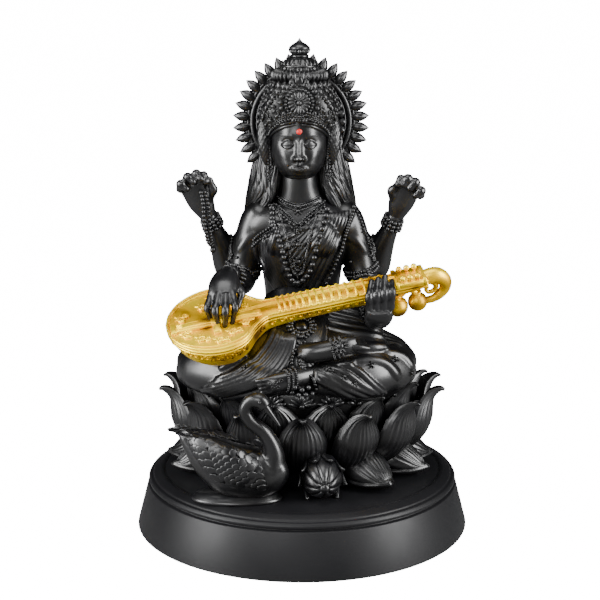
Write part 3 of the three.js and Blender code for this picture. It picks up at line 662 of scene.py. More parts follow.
near_petals = small_blade([[4, 7, 2.4, 1.6], [14, 10, 3.9, 1.4], [22, 9.6, 3.7, 1.2], [28, 6.4, 2.3, 1],
                           [31, 3, 0.8, 0.7]], 5)
far_petals = small_blade([[3, 7, 2.8, 1.6], [11, 10.2, 4.2, 1.4], [18, 11.4, 3.6, 1.1], [22, 13, 1.7, 0.8],
                          [23.5, 14.2, 0.5, 0.5]], 5)
bud_body = strand([[*(BUD_ROOT + bud_axis * a), r] for a, r in
                   ((0, 6), (10, 9.2), (20, 9), (28, 5.6), (30, 3))], 24)
knob_profile = [[0.2, 27.5], [4.4, 28], [4.2, 30.4], [2.6, 31], [2.4, 31.6], [2.9, 32.6], [2.4, 33.6],
                [0.3, 34.2]]
knob, knob_faces = turned(knob_profile, 20, lobes=10, depth=0.05)
knob = BUD_ROOT + knob @ np.stack([bud_side, bud_top, bud_axis])
cast("lotus_bud", [round_bud(near_petals, 9, 0), round_bud(far_petals, 9, np.pi / 9), bud_body,
                   outward(knob, knob_faces)])

# %% Fans of leaves round the seat
LEAFLET = [[0, 0, 0.8, 0.8], [3, 1.2, 1.5, 0.9], [6, 1.6, 1.3, 0.8], [8.6, 1.2, 0.3, 0.3]]
leaflet = small_blade(LEAFLET, 3, 6)
spread = np.radians(np.linspace(-72, 72, 7))
fan = merged([copies(leaflet, [[0, 0, 0]],
                     [[[np.cos(q), -np.sin(q), 0], [np.sin(q), np.cos(q), 0], [0, 0, 1]]])
              for q in spread] + [copies(SMALL_BALL, [[0, 0.5, 1.4]], sizes=1.7)])
fans = []
for degrees in range(0, 360, 15):
    a = np.radians(degrees)
    out = np.array([np.sin(a), -np.cos(a), 0])
    across = np.array([np.cos(a), np.sin(a), 0])
    place = on_lotus(degrees, [[0.735, 0, 0, 0]])[0, :3] + (0, 0, SEAT - 8)
    fans.append(copies(fan, [place], [np.stack([across, unit(0.25 * out + (0, 0, 1)), out])]))
cast("seat_leaves", fans)

# %% [markdown]
# ## Legs under the skirt
# She sits cross-legged. The thighs run out to the knees and the shins cross in front of them, and a heavy
# silk skirt is stretched over all of it, so the knees are smooth and the folds gather towards the waist.
# The folds are raised on the fused skin along lines, each with a name for where it runs.

# %% Legs, lap and the hanging end of the sash
KNEE_RIGHT, KNEE_LEFT = -73.0, 66.0  # mm, how far each knee reaches to the side


def thigh(k):
    """The thigh's forms as shares of the knee's reach."""
    return strand_form([[0.12 * k, 12, 72, 17, 18], [0.37 * k, 6, 73, 18, 19], [0.63 * k, -4, 69.5, 17, 18],
                        [0.82 * k, -12, 65.5, 15.4, 15.8], [0.94 * k, -18, 63, 11, 10.6],
                        [k, -20, 62, 3.5, 3]])


def shin(k):
    """The shin, folded in front of the thigh."""
    return strand_form([[0.93 * k, -14, 63, 8, 8], [0.81 * k, -23, 66, 13.5, 12.4],
                        [0.6 * k, -34, 66, 15, 12.4], [0.36 * k, -42, 66, 12.5, 10.8],
                        [0.1 * k, -47, 66, 7.5, 7.5]])


def strand_form(stations, across=(0, 0, 1), sides=40, count=60):
    """A closed skin over [x, y, z, wide, deep] stations."""
    return shell(form(stations, across)(steps(count), turns(sides)))


lap = strand_form([[0, 10, 56, 50, 36], [0, 10, 64, 51, 37], [0, 10, 72, 49, 35.5], [0, 10.4, 80, 44, 31.5],
                   [0, 11, 88, 35, 25], [0, 12, 96, 24, 16]], (1, 0, 0), 64)
sash_fall = strand_form([[-2, -4, 101, 21, 12], [-6, -22, 94, 22, 10], [-11, -36, 83, 23, 9],
                         [-14, -43, 72, 21, 8], [-16, -45, 64, 18, 6]], (1, 0, 0))
hip_left = strand_form([[10, -2, 98, 20, 12], [20, -16, 90, 20, 10], [28, -28, 82, 20, 9],
                        [34, -36, 74, 18, 8]], (1, 0, 0))
lower_limbs = fused([thigh(KNEE_RIGHT), thigh(KNEE_LEFT), shin(KNEE_RIGHT), shin(KNEE_LEFT), lap, sash_fall,
                     hip_left], 0.76, 12)
print("legs", len(lower_limbs[0]), "points")

# %% Folds of the skirt
RIGHT_FOLDS = [  # over the figure's right shin, each from the waist down and round under the knee
    [[-4, -38, 92], [-6, -46, 83], [-11, -51, 74.5], [-22, -58, 67], [-37, -50, 60], [-53, -38, 54]],
    [[-9, -38, 91], [-11.5, -44, 84], [-18, -48, 75.5], [-30, -52, 68], [-45, -45, 62], [-58, -34, 57]],
    [[-14.5, -33, 91], [-18, -38, 84], [-26, -42, 75], [-37, -46, 70.5], [-49, -43, 66]],
    [[-21, -22, 92], [-26, -30, 84], [-33, -37, 78], [-42, -38, 75]],
]
LEFT_FOLDS = [  # over the left shin: from the middle of the lap out and down
    [[-1, -51, 81], [2.5, -52, 74.5], [9, -54, 69], [19.5, -52, 63], [32, -45, 56]],
    [[1, -48, 81.5], [8.5, -50, 75], [18.5, -52, 70], [31, -51, 63], [45, -42, 56]],
    [[8.5, -51, 84.5], [19, -52, 80], [29.5, -49, 73.5], [39.5, -46, 64.5], [48, -38, 56]],
    [[19.5, -52, 86.5], [34, -48, 83.5], [47.5, -41, 75.5], [55.5, -36, 64]],
    [[29, -47, 89.5], [43, -38, 85], [56, -30, 77], [63.5, -26, 66.5]],
]
LAP_PULLS = [  # finer pulls from the hip over the top of each thigh
    [[12, -26, 93], [26, -30, 90], [42, -28, 86], [57, -20, 79]],
    [[16, 2, 97], [32, -2, 93], [48, -6, 87], [62, -10, 78]],
    [[-26, -18, 91], [-40, -24, 85], [-54, -24, 78]],
    [[-18, 2, 96], [-36, -2, 92], [-54, -6, 84]],
]
BACK_DRAPE = [  # the back of the skirt, which is first and last of a family
    [[-26, 24, 96], [-36, 34, 84], [-44, 34, 70], [-46, 32, 58]],
    [[26, 24, 96], [36, 34, 84], [44, 34, 70], [46, 32, 58]],
]
HEMS = [[[30, -47, 55], [42, -40, 52], [52, -32, 51], [60, -24, 52]],
        [[-22, -54, 61], [-34, -50, 55], [-48, -42, 50]]]
skirt = folded(lower_limbs,
               between(*RIGHT_FOLDS[:2], 4) + between(*RIGHT_FOLDS[1:3], 4) + between(*RIGHT_FOLDS[2:], 3),
               2.0, 2.0, 0.7)
skirt = folded(skirt, between(*LEFT_FOLDS[:2], 3) + between(*LEFT_FOLDS[1:3], 3), 2.3, 2.1, 0.7)
skirt = folded(skirt, LEFT_FOLDS[3:], 3.4, 1.4, 1.2)
skirt = folded(skirt, [line + np.array([0, 14, 0]) * (1 - abs(w)) for line, w in
                       zip(between(*BACK_DRAPE, 14), np.linspace(-1, 1, 14))], 3.0, 1.3, 0.9)
skirt = folded(skirt, HEMS + between(*LAP_PULLS[:2], 6) + between(*LAP_PULLS[2:], 4), 1.9, 0.9, 0.9)
thinned(cast("skirt", [skirt]), 0.5)
skirt_skin = touch_tree(skirt)

# %% [markdown]
# ## Feet
# The sole of one foot lies up on the other shin and the toes of the other peep out below. Toes are a row
# of small swellings on one fused form, with a flower anklet over each instep.

# %% Feet
def foot(stations, toes):
    """A foot: its long form and a row of toes, fused."""
    rows = [strand_form(stations, (0, 0, 1), 28, 30)] + [strand(t, 14, 18) for t in toes]
    return fused(rows, 0.54, 5)


upper_foot = foot(
    [[-6, -34, 80, 6.4, 6.4], [4, -46, 82, 6.2, 6.2], [14, -49, 84.4, 5.8, 5.6], [24, -48.6, 87, 5.4, 4.8],
     [30, -46.6, 87.6, 4.8, 3.4]],
    [[[28.6, -50.4 + 2.5 * i, 86.6 + 0.9 * i, 1.8], [33.6, -49.4 + 2.3 * i, 86.2 + 0.8 * i, 1.6],
      [38.4 - 1.1 * i, -47.4 + 2.1 * i, 85.0 + 0.8 * i, 1.25]] for i in range(4)])
lower_foot = foot(
    [[6, -46, 70, 5.6, 5.6], [-6, -54, 69, 5.6, 5.2], [-15, -57.5, 67.5, 5.6, 4.6],
     [-20, -58, 66.6, 5.0, 3.6]],
    [[[-17.5, -59.4, 70.4 - 2.2 * i, 1.8], [-22, -59.6, 69.8 - 2.3 * i, 1.65],
      [-26.4 + 1.0 * i, -58.6, 69 - 2.3 * i, 1.25]] for i in range(4)])
cast("feet", [upper_foot, lower_foot])
upper_skin, lower_skin = touch_tree(upper_foot), touch_tree(lower_foot)

# %% [markdown]
# ## Torso, neck and arms
# Chest, waist, neck and the four arms are one skin. Her near arms come forward to the veena, and the far
# pair rise behind them, which in a cast figure is simply a second pair of elbows set further back. The
# blouse and the sari are raised on that skin as pleats, since in resin this size cloth has no thickness of
# its own.

# %% Body forms
TORSO = [[0, 12, 80, 29, 20], [0, 12, 92, 26, 17.5], [0, 9.6, 104, 21.5, 14.8], [0, 8, 118, 22.5, 16],
         [0, 6.5, 132, 25.5, 17.2], [0, 7, 143, 27.5, 16.5], [0, 9, 152, 27, 14],
         [-0.4, 10, 159, 18.6, 11.8], [-1, 8, 165, 12.4, 11], [-1.4, 6.4, 172, 10.6, 10.2],
         [-1.6, 6, 180, 10.6, 10]]
NEAR_RIGHT_ARM = [[-19, 9, 156, 6, 7], [-25.5, 9, 150.5, 10, 10.5], [-30.5, 10, 137, 9.8, 10.2],
                  [-34, 11, 123, 9.4, 9.8], [-36, 7.5, 113.5, 8.6, 8.8], [-37.4, -4, 114.5, 7.6, 7.6],
                  [-40, -14, 119.5, 6, 6], [-42, -23, 123.2, 5.4, 4.8]]
NEAR_LEFT_ARM = [[19, 9, 156, 6, 7], [25.5, 9, 150.5, 10, 10.5], [30.5, 10, 137, 9.8, 10.2],
                 [34, 11, 123, 9.4, 9.8], [36.5, 6.5, 112.5, 8.4, 8.6], [38.6, -5, 106, 7.4, 7.4],
                 [41, -16.5, 100.5, 5.8, 5.8], [42.2, -26, 97.4, 5.2, 4.8]]
FAR_UPPER_ARM = [[21, 14, 150, 7, 7], [34, 18, 133, 9, 9], [44, 21, 114, 6, 6]]
FAR_FOREARM = [[42, 21.5, 111, 4, 4], [45.2, 20, 119, 8, 8], [47.9, 16.5, 132, 7.6, 7.4],
               [51.8, 12.6, 142, 5.8, 5.4], [55.6, 9.2, 153, 4.9, 4.4]]
BUST = [[9.8, 1.0, 147, 8.4], [10.4, -2.0, 142, 10.2], [10.6, -2.6, 138.6, 10.2],
        [10.2, 0.4, 134, 8.6]]  # one side

SHOULDER = [[6, 4, 151, 9], [15, 3.4, 149.6, 9.4], [23, 6, 147.4, 9.6],
            [27, 9, 145, 9]]  # joins the chest to an arm

bust = [strand([[s * x, *rest] for x, *rest in BUST], 32, 30) for s in (1, -1)]
bust += [strand([[s * x, *rest] for x, *rest in SHOULDER], 32, 30) for s in (1, -1)]
arms = [strand_form(stations, (1, 0, 0), 32) for stations in (NEAR_RIGHT_ARM, NEAR_LEFT_ARM)]
for sign in (1, -1):
    for stations, across in ((FAR_UPPER_ARM, (1, 0, 0)), (FAR_FOREARM, (0, 1, 0))):
        arms.append(strand_form([[sign * x, *rest] for x, *rest in stations], across, 32))
body = fused([strand_form(TORSO, (1, 0, 0), 64, 70)] + bust + arms, 0.64, 28)
print("body", len(body[0]), "points")

# %% Pleats of the sari and hems of the blouse
SARI_FOLDS = [  # from her left shoulder across the chest and down to the waist
    [[10, -4, 155], [3, -9, 149], [-5, -11, 144], [-13, -10, 141]],
    [[13, -3, 155], [8, -8, 147], [1, -11, 138], [-6, -12, 129], [-12, -9, 120]],
    [[27, 7, 156], [24, -4, 147], [20, -8, 137], [15, -8, 126], [10, -7, 115], [5, -7, 104]],
]
SIDE_FOLDS = [  # under the blouse's band, round her right side and in to the waist
    [[-14, -9, 147], [-17, -8, 138], [-17, -8, 128], [-13, -7, 117], [-6, -6, 104]],
    [[-27, 0, 139], [-27, 2, 130], [-23, 2, 121], [-17, 0, 112], [-10, -4, 102]],
]
SARI_EDGE = [[30, 12, 157], [28.5, 0, 151.5], [26.5, 0, 147.5], [25, 0, 143], [23, 0, 134],
             [20.5, -3.5, 129], [17.5, -4, 120.5], [12, -2.5, 111]]
NECKLINE = [[-19, -6, 150.5], [-10, -12, 149], [0, -9, 147], [8, -11, 150]]
SLEEVE_PULLS = [[[-26, 0, 143], [-33, 0, 138], [-39, 6, 131]], [[26, 0, 141], [33, 0, 137], [39, 6, 130]]]
pleats = between(*SARI_FOLDS[:2], 4) + between(*SARI_FOLDS[1:], 8) + between(*SIDE_FOLDS, 6)
body = folded(body, pleats, 1.7, 1.5, 0.7, FRONT)
body = folded(body, [SARI_EDGE, NECKLINE], 1.6, 1.0, 0.6, FRONT)
body = folded(body, SLEEVE_PULLS, 3, 0.5, 1.5, FRONT)
thinned(cast("body", [body]), 0.48)
body_skin = touch_tree(body)

# %% [markdown]
# ## Four hands
# One hand plucks, one stops the strings, one holds prayer beads and one is closed. A hand is a palm form
# and five fingers of three bones each, fused finely. They are made apart from the arms, with the seam
# hidden under a bracelet, because fingers need a grid half as coarse as shoulders do.

# %% Hands
def finger(root, middle, tip):
    """A finger over three [x, y, z, radius] places: a little fuller at each joint, round at the end."""
    a, b, c = (np.asarray(p, float) for p in (root, middle, tip))
    end = c.copy()
    end[:3] += 0.75 * c[3] * unit(c[:3] - b[:3])
    end[3] = 0.35 * c[3]
    waist = np.array([1, 1, 1, 0.93])
    return strand([a, (a + b) / 2 * waist, b * (1, 1, 1, 1.03), (b + c) / 2 * waist, c, end], 16, 26)


def hand(palm, fingers, across=(1, 0, 0)):
    """A fused hand from its palm's stations and its fingers."""
    return fused([strand_form(palm, across, 24, 24)] + [finger(*places) for places in fingers], 0.58, 3)


plucking_hand = hand(
    [[-42.4, -22, 123, 5.2, 4.5], [-43.6, -30, 122.6, 7.2, 4.6], [-44.6, -37.6, 119.6, 8.5, 4.2],
     [-45, -42.8, 115.6, 8.2, 3.3], [-45.2, -45.4, 112.4, 6.4, 2.4]],
    [[[-51.2, -41.4, 116, 2.3], [-53.4, -48.6, 108.6, 2.1], [-50.6, -47, 99.4, 1.45]],
     [[-47.2, -44.2, 115.8, 2.45], [-48.8, -52.2, 108, 2.2], [-46.8, -50.6, 96.8, 1.45]],
     [[-43.1, -44.6, 115.8, 2.45], [-43, -52.8, 108.2, 2.2], [-43.3, -51, 97.2, 1.45]],
     [[-39.3, -42.6, 116.2, 2.3], [-37.4, -50.2, 109.4, 2.1], [-39.4, -49.2, 99.4, 1.45]],
     [[-38.4, -31.6, 120.6, 2.9], [-34.4, -38.2, 115, 2.5], [-36.6, -42, 107.4, 1.7]]])
stopping_hand = hand(
    [[42.4, -25, 97.3, 5.2, 4.6], [43, -35, 98.5, 7.6, 5.4], [43.5, -42, 102.6, 8.2, 4.8],
     [43.8, -45.6, 106.6, 7, 3]],
    [[[38 + 4.0 * i, -43.6, 106 + 0.5 * i, 2.4], [37.4 + 4.4 * i, -47.4, 115 + 0.9 * i, 2.25],
      [39.2 + 3.9 * i, -40, 122.6 + 1.5 * (i % 3), 1.6]] for i in range(4)]
    + [[[47.4, -29, 100, 3.0], [50.2, -30, 108, 2.7], [49.5, -29.4, 116, 2.0]]])
bead_hand = hand(
    [[-55.4, 9.4, 151, 4.9, 4.4], [-59.6, 7.4, 160, 8.0, 5], [-64, 5.4, 170, 8.6, 4.6],
     [-66, 5, 173.4, 6, 3]],
    [[[-71.2, 4, 168, 2.9], [-70.6, -2, 172.2, 2.7], [-66.9, -3, 169, 2.0]],
     [[-67.3, 4.5, 171.6, 2.9], [-66.6, -2, 176.3, 2.7], [-62.9, -3.4, 173.2, 2.0]],
     [[-63, 5, 172.8, 2.8], [-61.6, -0.5, 178.2, 2.6], [-58.7, -2.5, 175, 2.0]],
     [[-59.4, 5.2, 171.4, 2.7], [-57.4, 1.2, 177, 2.5], [-56, -1.4, 173, 1.9]],
     [[-55.4, 6.4, 161, 3.2], [-52, 2.6, 168, 2.7], [-54, 0.2, 174.6, 2.0]]], (1, 0, -0.3))
closed_hand = hand(
    [[55.4, 9.6, 151, 4.9, 4.4], [58.6, 7.2, 160, 7.8, 5], [62, 5.4, 168.8, 8.2, 4.8],
     [63.4, 5, 172.4, 6.4, 3.4]],
    [[[69.2, 4, 164.6, 3.1], [69.3, -2.4, 168.2, 2.9], [65.9, -2.8, 165.2, 2.2]],
     [[66.2, 4.5, 169.6, 3.1], [65.9, -3, 173.2, 2.9], [62.6, -3.4, 169.4, 2.2]],
     [[62, 5, 171.8, 3.1], [61.5, -2.6, 175.3, 2.9], [58.6, -3.2, 171.6, 2.2]],
     [[58.2, 5.2, 170.8, 2.9], [57.6, -1.4, 175, 2.7], [55.4, -2.6, 171.6, 2.1]],
     [[54.4, 6.2, 161, 3.3], [52.6, 2.8, 167.4, 2.8], [55.6, -0.6, 171.4, 2.1]]], (1, 0, 0.3))
cast("near_hands", [plucking_hand, stopping_hand])
cast("far_hands", [bead_hand, closed_hand])

# %% [markdown]
# ## Head and face
# The face is a calm one. Between its chin and its hairline it is laid out by the drawing-book rules: the
# eyes one eye's width apart, the brow, the nose's base and the chin in equal thirds, the nose as wide as
# an eye and the mouth reaching to the middle of each eye. The chin, the hairline, the width of the face and
# the width of the jaw are not such rules: they were read off the photo, so the outline of this face is
# taken from it. It starts as an egg, and its features are soft mounds and hollows added up over it, which
# blend as clay does. Only the lids, the lips and the nose need formulas of their own.

# %% Face layout
FACE_X = -1.8  # mm, the head's middle
CHIN, HAIRLINE = 174.6, 212.0  # mm, heights above the plinth's top, read off the photo
FACE_HALF = 16.6  # mm, half the face's width at the cheekbones, read off the photo
third = (HAIRLINE - CHIN) / 3
BROW, NOSE_BASE = CHIN + 2 * third, CHIN + third
EYE = 2 * FACE_HALF / 5  # an eye's width, and also the gap between the eyes
EYE_HEIGHT = BROW - 3.4
MOUTH = NOSE_BASE - third / 3

# Rows of [x, y, z, half width, half depth] in mm. The lower ones were corrected towards the photo.
SKULL = [[0, -1.2, 173.6, 1.2, 2.4], [0, -0.9, 174.1, 4.2, 6.2], [0, -0.4, 175.5, 7.6, 9.6],
         [0, 0.3, 178.4, 11, 12.2], [0, 1, 183, 14.2, 13.8], [0, 2.6, 190, 16.6, 15.9],
         [0, 3.6, 198, FACE_HALF, 17.0], [0, 5, 208, 16, 17.6], [0, 6, 218, 14, 16]]
MOUNDS = [  # [x, z, wide, high, forward in mm]; each one also has its mirror twin
    [EYE, EYE_HEIGHT + 0.6, 4.6, 3.2, -1.4],  # eye socket
    [0.5 * EYE, EYE_HEIGHT + 1.8, 1.5, 2.6, -0.7],  # inner corner of the socket
    [8.6, NOSE_BASE + 2.6, 4.6, 4.2, 1.3],  # cheekbone
    [7.6, NOSE_BASE - 2.4, 3.8, 3.6, 0.7],  # cheek
    [0, MOUTH - 0.2, 6.4, 3.6, 1.2],  # the swell that carries the lips
    [0, NOSE_BASE - 1.6, 0.6, 1.2, -0.3],  # groove under the nose
    [0, MOUTH - 3.6, 3.0, 1.3, -0.4],  # hollow under the lower lip
    [5.5, MOUTH + 0.8, 0.9, 0.8, -0.5],  # corner of the mouth
    [0, CHIN + 3.2, 4.6, 3.4, 1.8],  # chin
    [2.75, NOSE_BASE + 1.2, 1.15, 1.25, 2.1],  # wing of the nose
    [1.35, NOSE_BASE - 0.35, 0.65, 0.5, -0.9],  # nostril
    [0, NOSE_BASE + 2.0, 1.9, 1.6, 0.8],  # tip of the nose
    [6.9, BROW + 1.6, 6.4, 3.2, 0.5],  # brow bone
    [13.4, BROW + 4, 3.6, 5.0, -0.7],  # temple
]


def step_up(value):
    """0 below 0, 1 above 1 and an easy rise between."""
    v = np.clip(value, 0, 1)
    return v * v * (3 - 2 * v)


def dome(a, b):
    """A dome over |a| < 1 and |b| < 1: the root of (1 - a^2)(1 - b^2)."""
    return np.sqrt(np.clip(1 - a ** 2, 0, 1) * np.clip(1 - b ** 2, 0, 1))


# %% Relief of the face
def nose_relief(x, z):
    """The bridge: its height grows as (share of the way down) to the power 1.3, it is a bell across, and
    it ends in a step at the base."""
    down = np.clip((BROW + 0.5 - z) / (BROW + 0.5 - NOSE_BASE), 0, 1)
    bell = np.exp(-(x / (1.35 + 1.15 * down)) ** 2)
    return (0.7 * step_up(4 * down) + 3.5 * down ** 1.2) * bell * step_up((z - NOSE_BASE + 0.9) / 2.0)


def eye_relief(x, z):
    """A lowered eye: an almond dome, the upper lid lying over its upper three fifths with a crisp edge, a
    thin lower lid, and a crease above. Heights are shares of the almond's own half height."""
    a = (x - EYE) / (0.58 * EYE)
    half = 0.05 + 2.3 * np.clip(1 - a ** 2, 0, 1)
    e = (z - EYE_HEIGHT + 0.25 * a) / half
    inside = step_up(3 * (1 - np.abs(a)))
    upper = 0.34 * step_up((e + 0.22) / 0.16) * step_up((1.3 - e) / 0.4)
    lower = 0.26 * step_up((-0.6 - e) / 0.14) * step_up((e + 1.25) / 0.3)
    crease = -0.4 * np.exp(-((e - 1.32) / 0.16) ** 2)
    return 1.7 * dome(0.98 * a, np.clip(0.94 * e, -1, 1)) + inside * (upper + lower + crease)


def brow_relief(x, z):
    """A thin raised eyebrow along an arch."""
    a = (x - 1.15 * EYE) / (0.86 * EYE)
    arch = BROW + 2.3 - 1.9 * a ** 2 + 0.3 * a
    return 0.36 * np.exp(-((z - arch) / 0.42) ** 2) * step_up(2.5 * (1 - np.abs(a)))


def lip_relief(x, z):
    """Two lips that meet on a faintly smiling line: the upper one bowed in the middle, the lower fuller."""
    line = MOUTH - 0.1 + 0.85 * (x / 5) ** 2
    top = 1.55 * np.clip(1 - (x / 5.1) ** 2, 0, 1) * (1 - 0.22 * np.exp(-(x / 0.8) ** 2)) + 0.01
    bottom = 2.3 * np.clip(1 - (x / 4.6) ** 2, 0, 1) + 0.01
    upper = dome(x / 5.2, 2 * (z - line) / top - 1) * (z > line)
    lower = dome(x / 4.6, 2 * (line - z) / bottom - 1) * (z <= line)
    return 0.8 * upper + 1.1 * lower - 0.15 * np.exp(-((z - line) / 0.2) ** 2) * (x < 5)


FACE_ANGLES = np.concatenate([np.linspace(1.0, 2.0, 148, endpoint=False),
                              np.linspace(0, 1, 20, endpoint=False)]) * np.pi
grid = form(SKULL, (1, 0, 0))(steps(144), FACE_ANGLES[None, :])
x, y, z = np.abs(grid[..., 0]), grid[..., 1], grid[..., 2]
relief = nose_relief(x, z) + eye_relief(x, z) + brow_relief(x, z) + lip_relief(x, z)
for x_mid, z_mid, wide, high, forward in MOUNDS:
    relief = relief + forward * np.exp(-((x - x_mid) / wide) ** 2 - ((z - z_mid) / high) ** 2)
grid[..., 1] -= relief * step_up((2 - y) / 8)
grid[..., 0] += FACE_X
face = shell(grid)
cast("face", [face])
face_skin = touch_tree(face)

# %% [markdown]
# ## Ears and the red mark
# An ear is a rim, a lobe and a hollow between them, half hidden by hair and jewels. The mark between the
# brows is one dab of enamel, so it is a very flat dome with its own colour.

# %% Ears and forehead mark
def ear(s):
    """The ear on one side."""
    rim = [[15.4, 3.4, 190.5, 1.0], [17.4, 6.2, 195, 1.3], [17.6, 6.6, 199.4, 1.4], [16.8, 3.6, 201.2, 1.2],
           [15.8, 1.4, 198, 0.9]]
    plate = [[15.2, 4.4, 201, 0.6, 0.5], [16.2, 4.6, 197, 3.2, 1.2], [15.8, 3.6, 191.5, 2.4, 1.3],
             [15.2, 2.4, 187.4, 1.9, 1.5], [15, 2.2, 185.6, 0.4, 0.4]]
    rim = [[FACE_X + s * x, *rest] for x, *rest in rim]
    plate = [[FACE_X + s * x, *rest] for x, *rest in plate]
    return [strand(rim, 10, 30), strand_form(plate, (0, 1, 0), 16, 20)]


cast("ears", ear(1) + ear(-1))
dab = turned([[0.05, 0.75], [1.0, 0.55], [1.65, 0.1], [1.7, -0.5], [0.05, -0.6]], 24)
spot, out = laid(face_skin, [[FACE_X, -20, BROW + 5.0], [FACE_X, -20, BROW + 5.2]], 2, 0.1)
dab_out = unit(out[0] + (0, -0.6, 0))
dab_frame = np.stack([(1, 0, 0), np.cross(dab_out, (1, 0, 0)), dab_out])
piece("forehead_mark", [copies(dab, [spot[0]], [dab_frame])], red_enamel, "figure_on_lotus")

# %% [markdown]
# ## Hair
# Her hair falls behind the shoulders in one combed mass, with a few thick locks in front of it. Hair cast
# in resin is never single hairs: it is grooves that a comb drew through clay. So each lock is a form whose
# outline is scalloped, and the scallops wander a little on their way down.

# %% Combed locks
def combed(count, depth, sway, twist=0.0):
    """An outline with `count` combed ridges: the skin is raised by depth times |cos(count a / 2)| to the
    power 0.7, with a the angle plus sway times a slow wave of t, plus the twist times t."""
    def outline(t, angle, wide, deep):
        a = angle + sway * np.sin(2 * np.pi * 1.7 * t + 0.6) + twist * t
        fine = np.minimum(1, np.minimum(wide, deep) / 3)
        rise = depth * fine * np.abs(np.cos(count * a / 2)) ** 0.7
        return (wide + rise) * np.cos(angle), (deep + rise) * np.sin(angle)
    return outline


def lock(stations, count=14, depth=0.9, sway=0.25, twist=1.5, sides=60, length=40):
    """One combed lock."""
    return shell(form(stations, (1, 0, 0), combed(count, depth, sway, twist))(steps(length), turns(sides)))


back_hair = lock([[0, 16, 218, 17, 8], [0, 19, 200, 19, 9], [0, 20, 178, 22.4, 10], [0, 22, 158, 28.6, 8.6],
                  [0, 24, 134, 26, 6.6], [0, 25, 108, 22, 5.6], [0, 25.4, 84, 20, 4.8]], 44, 1.1, 0.05, 0,
                 220, 60)
locks = [back_hair]
for s in (1, -1):
    for path, count in (([[16.5, 9, 200, 3.6, 3.2], [19, 10, 186, 4.6, 4.0], [21.6, 11, 174, 4.6, 4.0],
                          [25.6, 13, 163, 3.8, 3.0], [30, 16, 155, 1.8, 1.4]], 14),
                        ([[15.6, 6, 192, 2.4, 2.0], [17.6, 6, 180, 3.8, 3.2], [21, 6, 168, 3.6, 3.0],
                          [27, 9, 159, 1.6, 1.4]], 12),
                        ([[14.4, 4, 186, 2.0, 1.8], [15.8, 4.6, 174, 3.0, 2.6], [19, 4, 163, 2.6, 2.2],
                          [24, 4, 155, 1.2, 1.0]], 10),
                        ([[17.5, 14, 206, 4.0, 3.4], [21, 16, 190, 4.8, 4.2], [25, 17, 174, 4.6, 4.0],
                          [28.6, 19, 160, 3.6, 3.0], [32.5, 21, 149, 1.6, 1.4]], 14)):
        locks.append(lock([[s * x + 0.5 * FACE_X, *rest] for x, *rest in path], count))
cast("hair", locks)

# %% Hair over the forehead
temples = []
for s in (1, -1):
    for i in range(3):
        z = 208.5 - 1.9 * i
        path = [[FACE_X + s * 2.2 * (1 - 0.1 * i), -14.3 + 0.5 * i, z + 3.2, 0.7],
                [FACE_X + s * 9, -11.6 + 0.5 * i, z + 1.4, 1.0],
                [FACE_X + s * 14.6, -5.4 + 0.5 * i, z - 2.2, 1.1], [FACE_X + s * 17.2, 2, z - 7.5, 1.0],
                [FACE_X + s * 17, 7, z - 13, 0.7]]
        temples.append(strand(path, 8, 40))
cast("temple_hair", temples)

# %% [markdown]
# ## The crown
# A tall crown in storeys: beaded bands on the hairline, an arched front of scrolls round a flower, a
# fluted roll, a small tier and a ribbed knob with a point. The storeys are turned shapes, some of them
# lobed, and the scrolls are one curl copied over the front in mirror pairs, as a stamp is pressed into
# clay.

# %% Storeys of the crown
CROWN_AXIS = (FACE_X + 0.3, 8.4, 0)


def upright_round(profile, sides=120, lobes=0, depth=0.0, axis_place=CROWN_AXIS, squeeze=(1, 1)):
    """A turned storey of the crown."""
    return turned(profile, sides, axis_place, squeeze, lobes, depth)


def tube_ring(radius, height, thick, lobes=0, depth=0.0, squeeze=(1, 1), axis_place=CROWN_AXIS):
    """A ring of round section, `thick` in radius, at one height; with lobes its outer side is fluted."""
    a = np.linspace(0, 2 * np.pi, 17)[:-1]
    around = turns(8 * lobes if lobes else 120)
    r = radius + thick * np.cos(a)[:, None] * (1 + depth * np.cos(lobes * around))
    z = height + thick * np.sin(a)[:, None] * (1 + depth * np.cos(lobes * around))
    grid = np.stack([axis_place[0] + squeeze[0] * r * np.cos(around),
                     axis_place[1] + squeeze[1] * r * np.sin(around), z], -1)
    return closed_ring(grid)


def closed_ring(grid):
    """A mesh from a grid that closes on itself both ways, like a ring of dough."""
    rows, round_ = grid.shape[:2]
    index = np.arange(rows * round_).reshape(rows, round_)
    near, up = np.roll(index, -1, 1), np.roll(index, -1, 0)
    return outward(grid.reshape(-1, 3), np.stack([index, near, np.roll(up, -1, 1), up], -1).reshape(-1, 4))


storeys = [
    upright_round([[0.4, 203], [15, 203.4], [19.4, 207.6], [22.2, 211.6], [22.4, 216], [20.6, 223],
                   [17.4, 229], [13.6, 232], [0.4, 232]], 160, squeeze=(1, 1.02)),
    tube_ring(13.0, 234.2, 3.5, 36, 0.16),
    upright_round([[0.4, 231], [13.4, 232], [13, 236], [10.8, 239.4], [10.6, 240.2], [9.4, 240.4],
                   [8.8, 242.6], [6.8, 244], [4.4, 244.8], [0.4, 245]], 120, 20, 0.03),
    tube_ring(10.4, 239.6, 1.0),
    tube_ring(4.6, 245.2, 0.9),
    upright_round([[0.3, 245], [3.6, 245.4], [5.6, 247.2], [6.2, 248.9]], 96, 16, 0.05),
    upright_round([[0.3, 248], [6.3, 248.8], [6.0, 250.4], [4.2, 252], [2.0, 253.2], [0.9, 254.3],
                   [0.25, 255.5]], 48),
]
cast("crown_storeys", storeys)

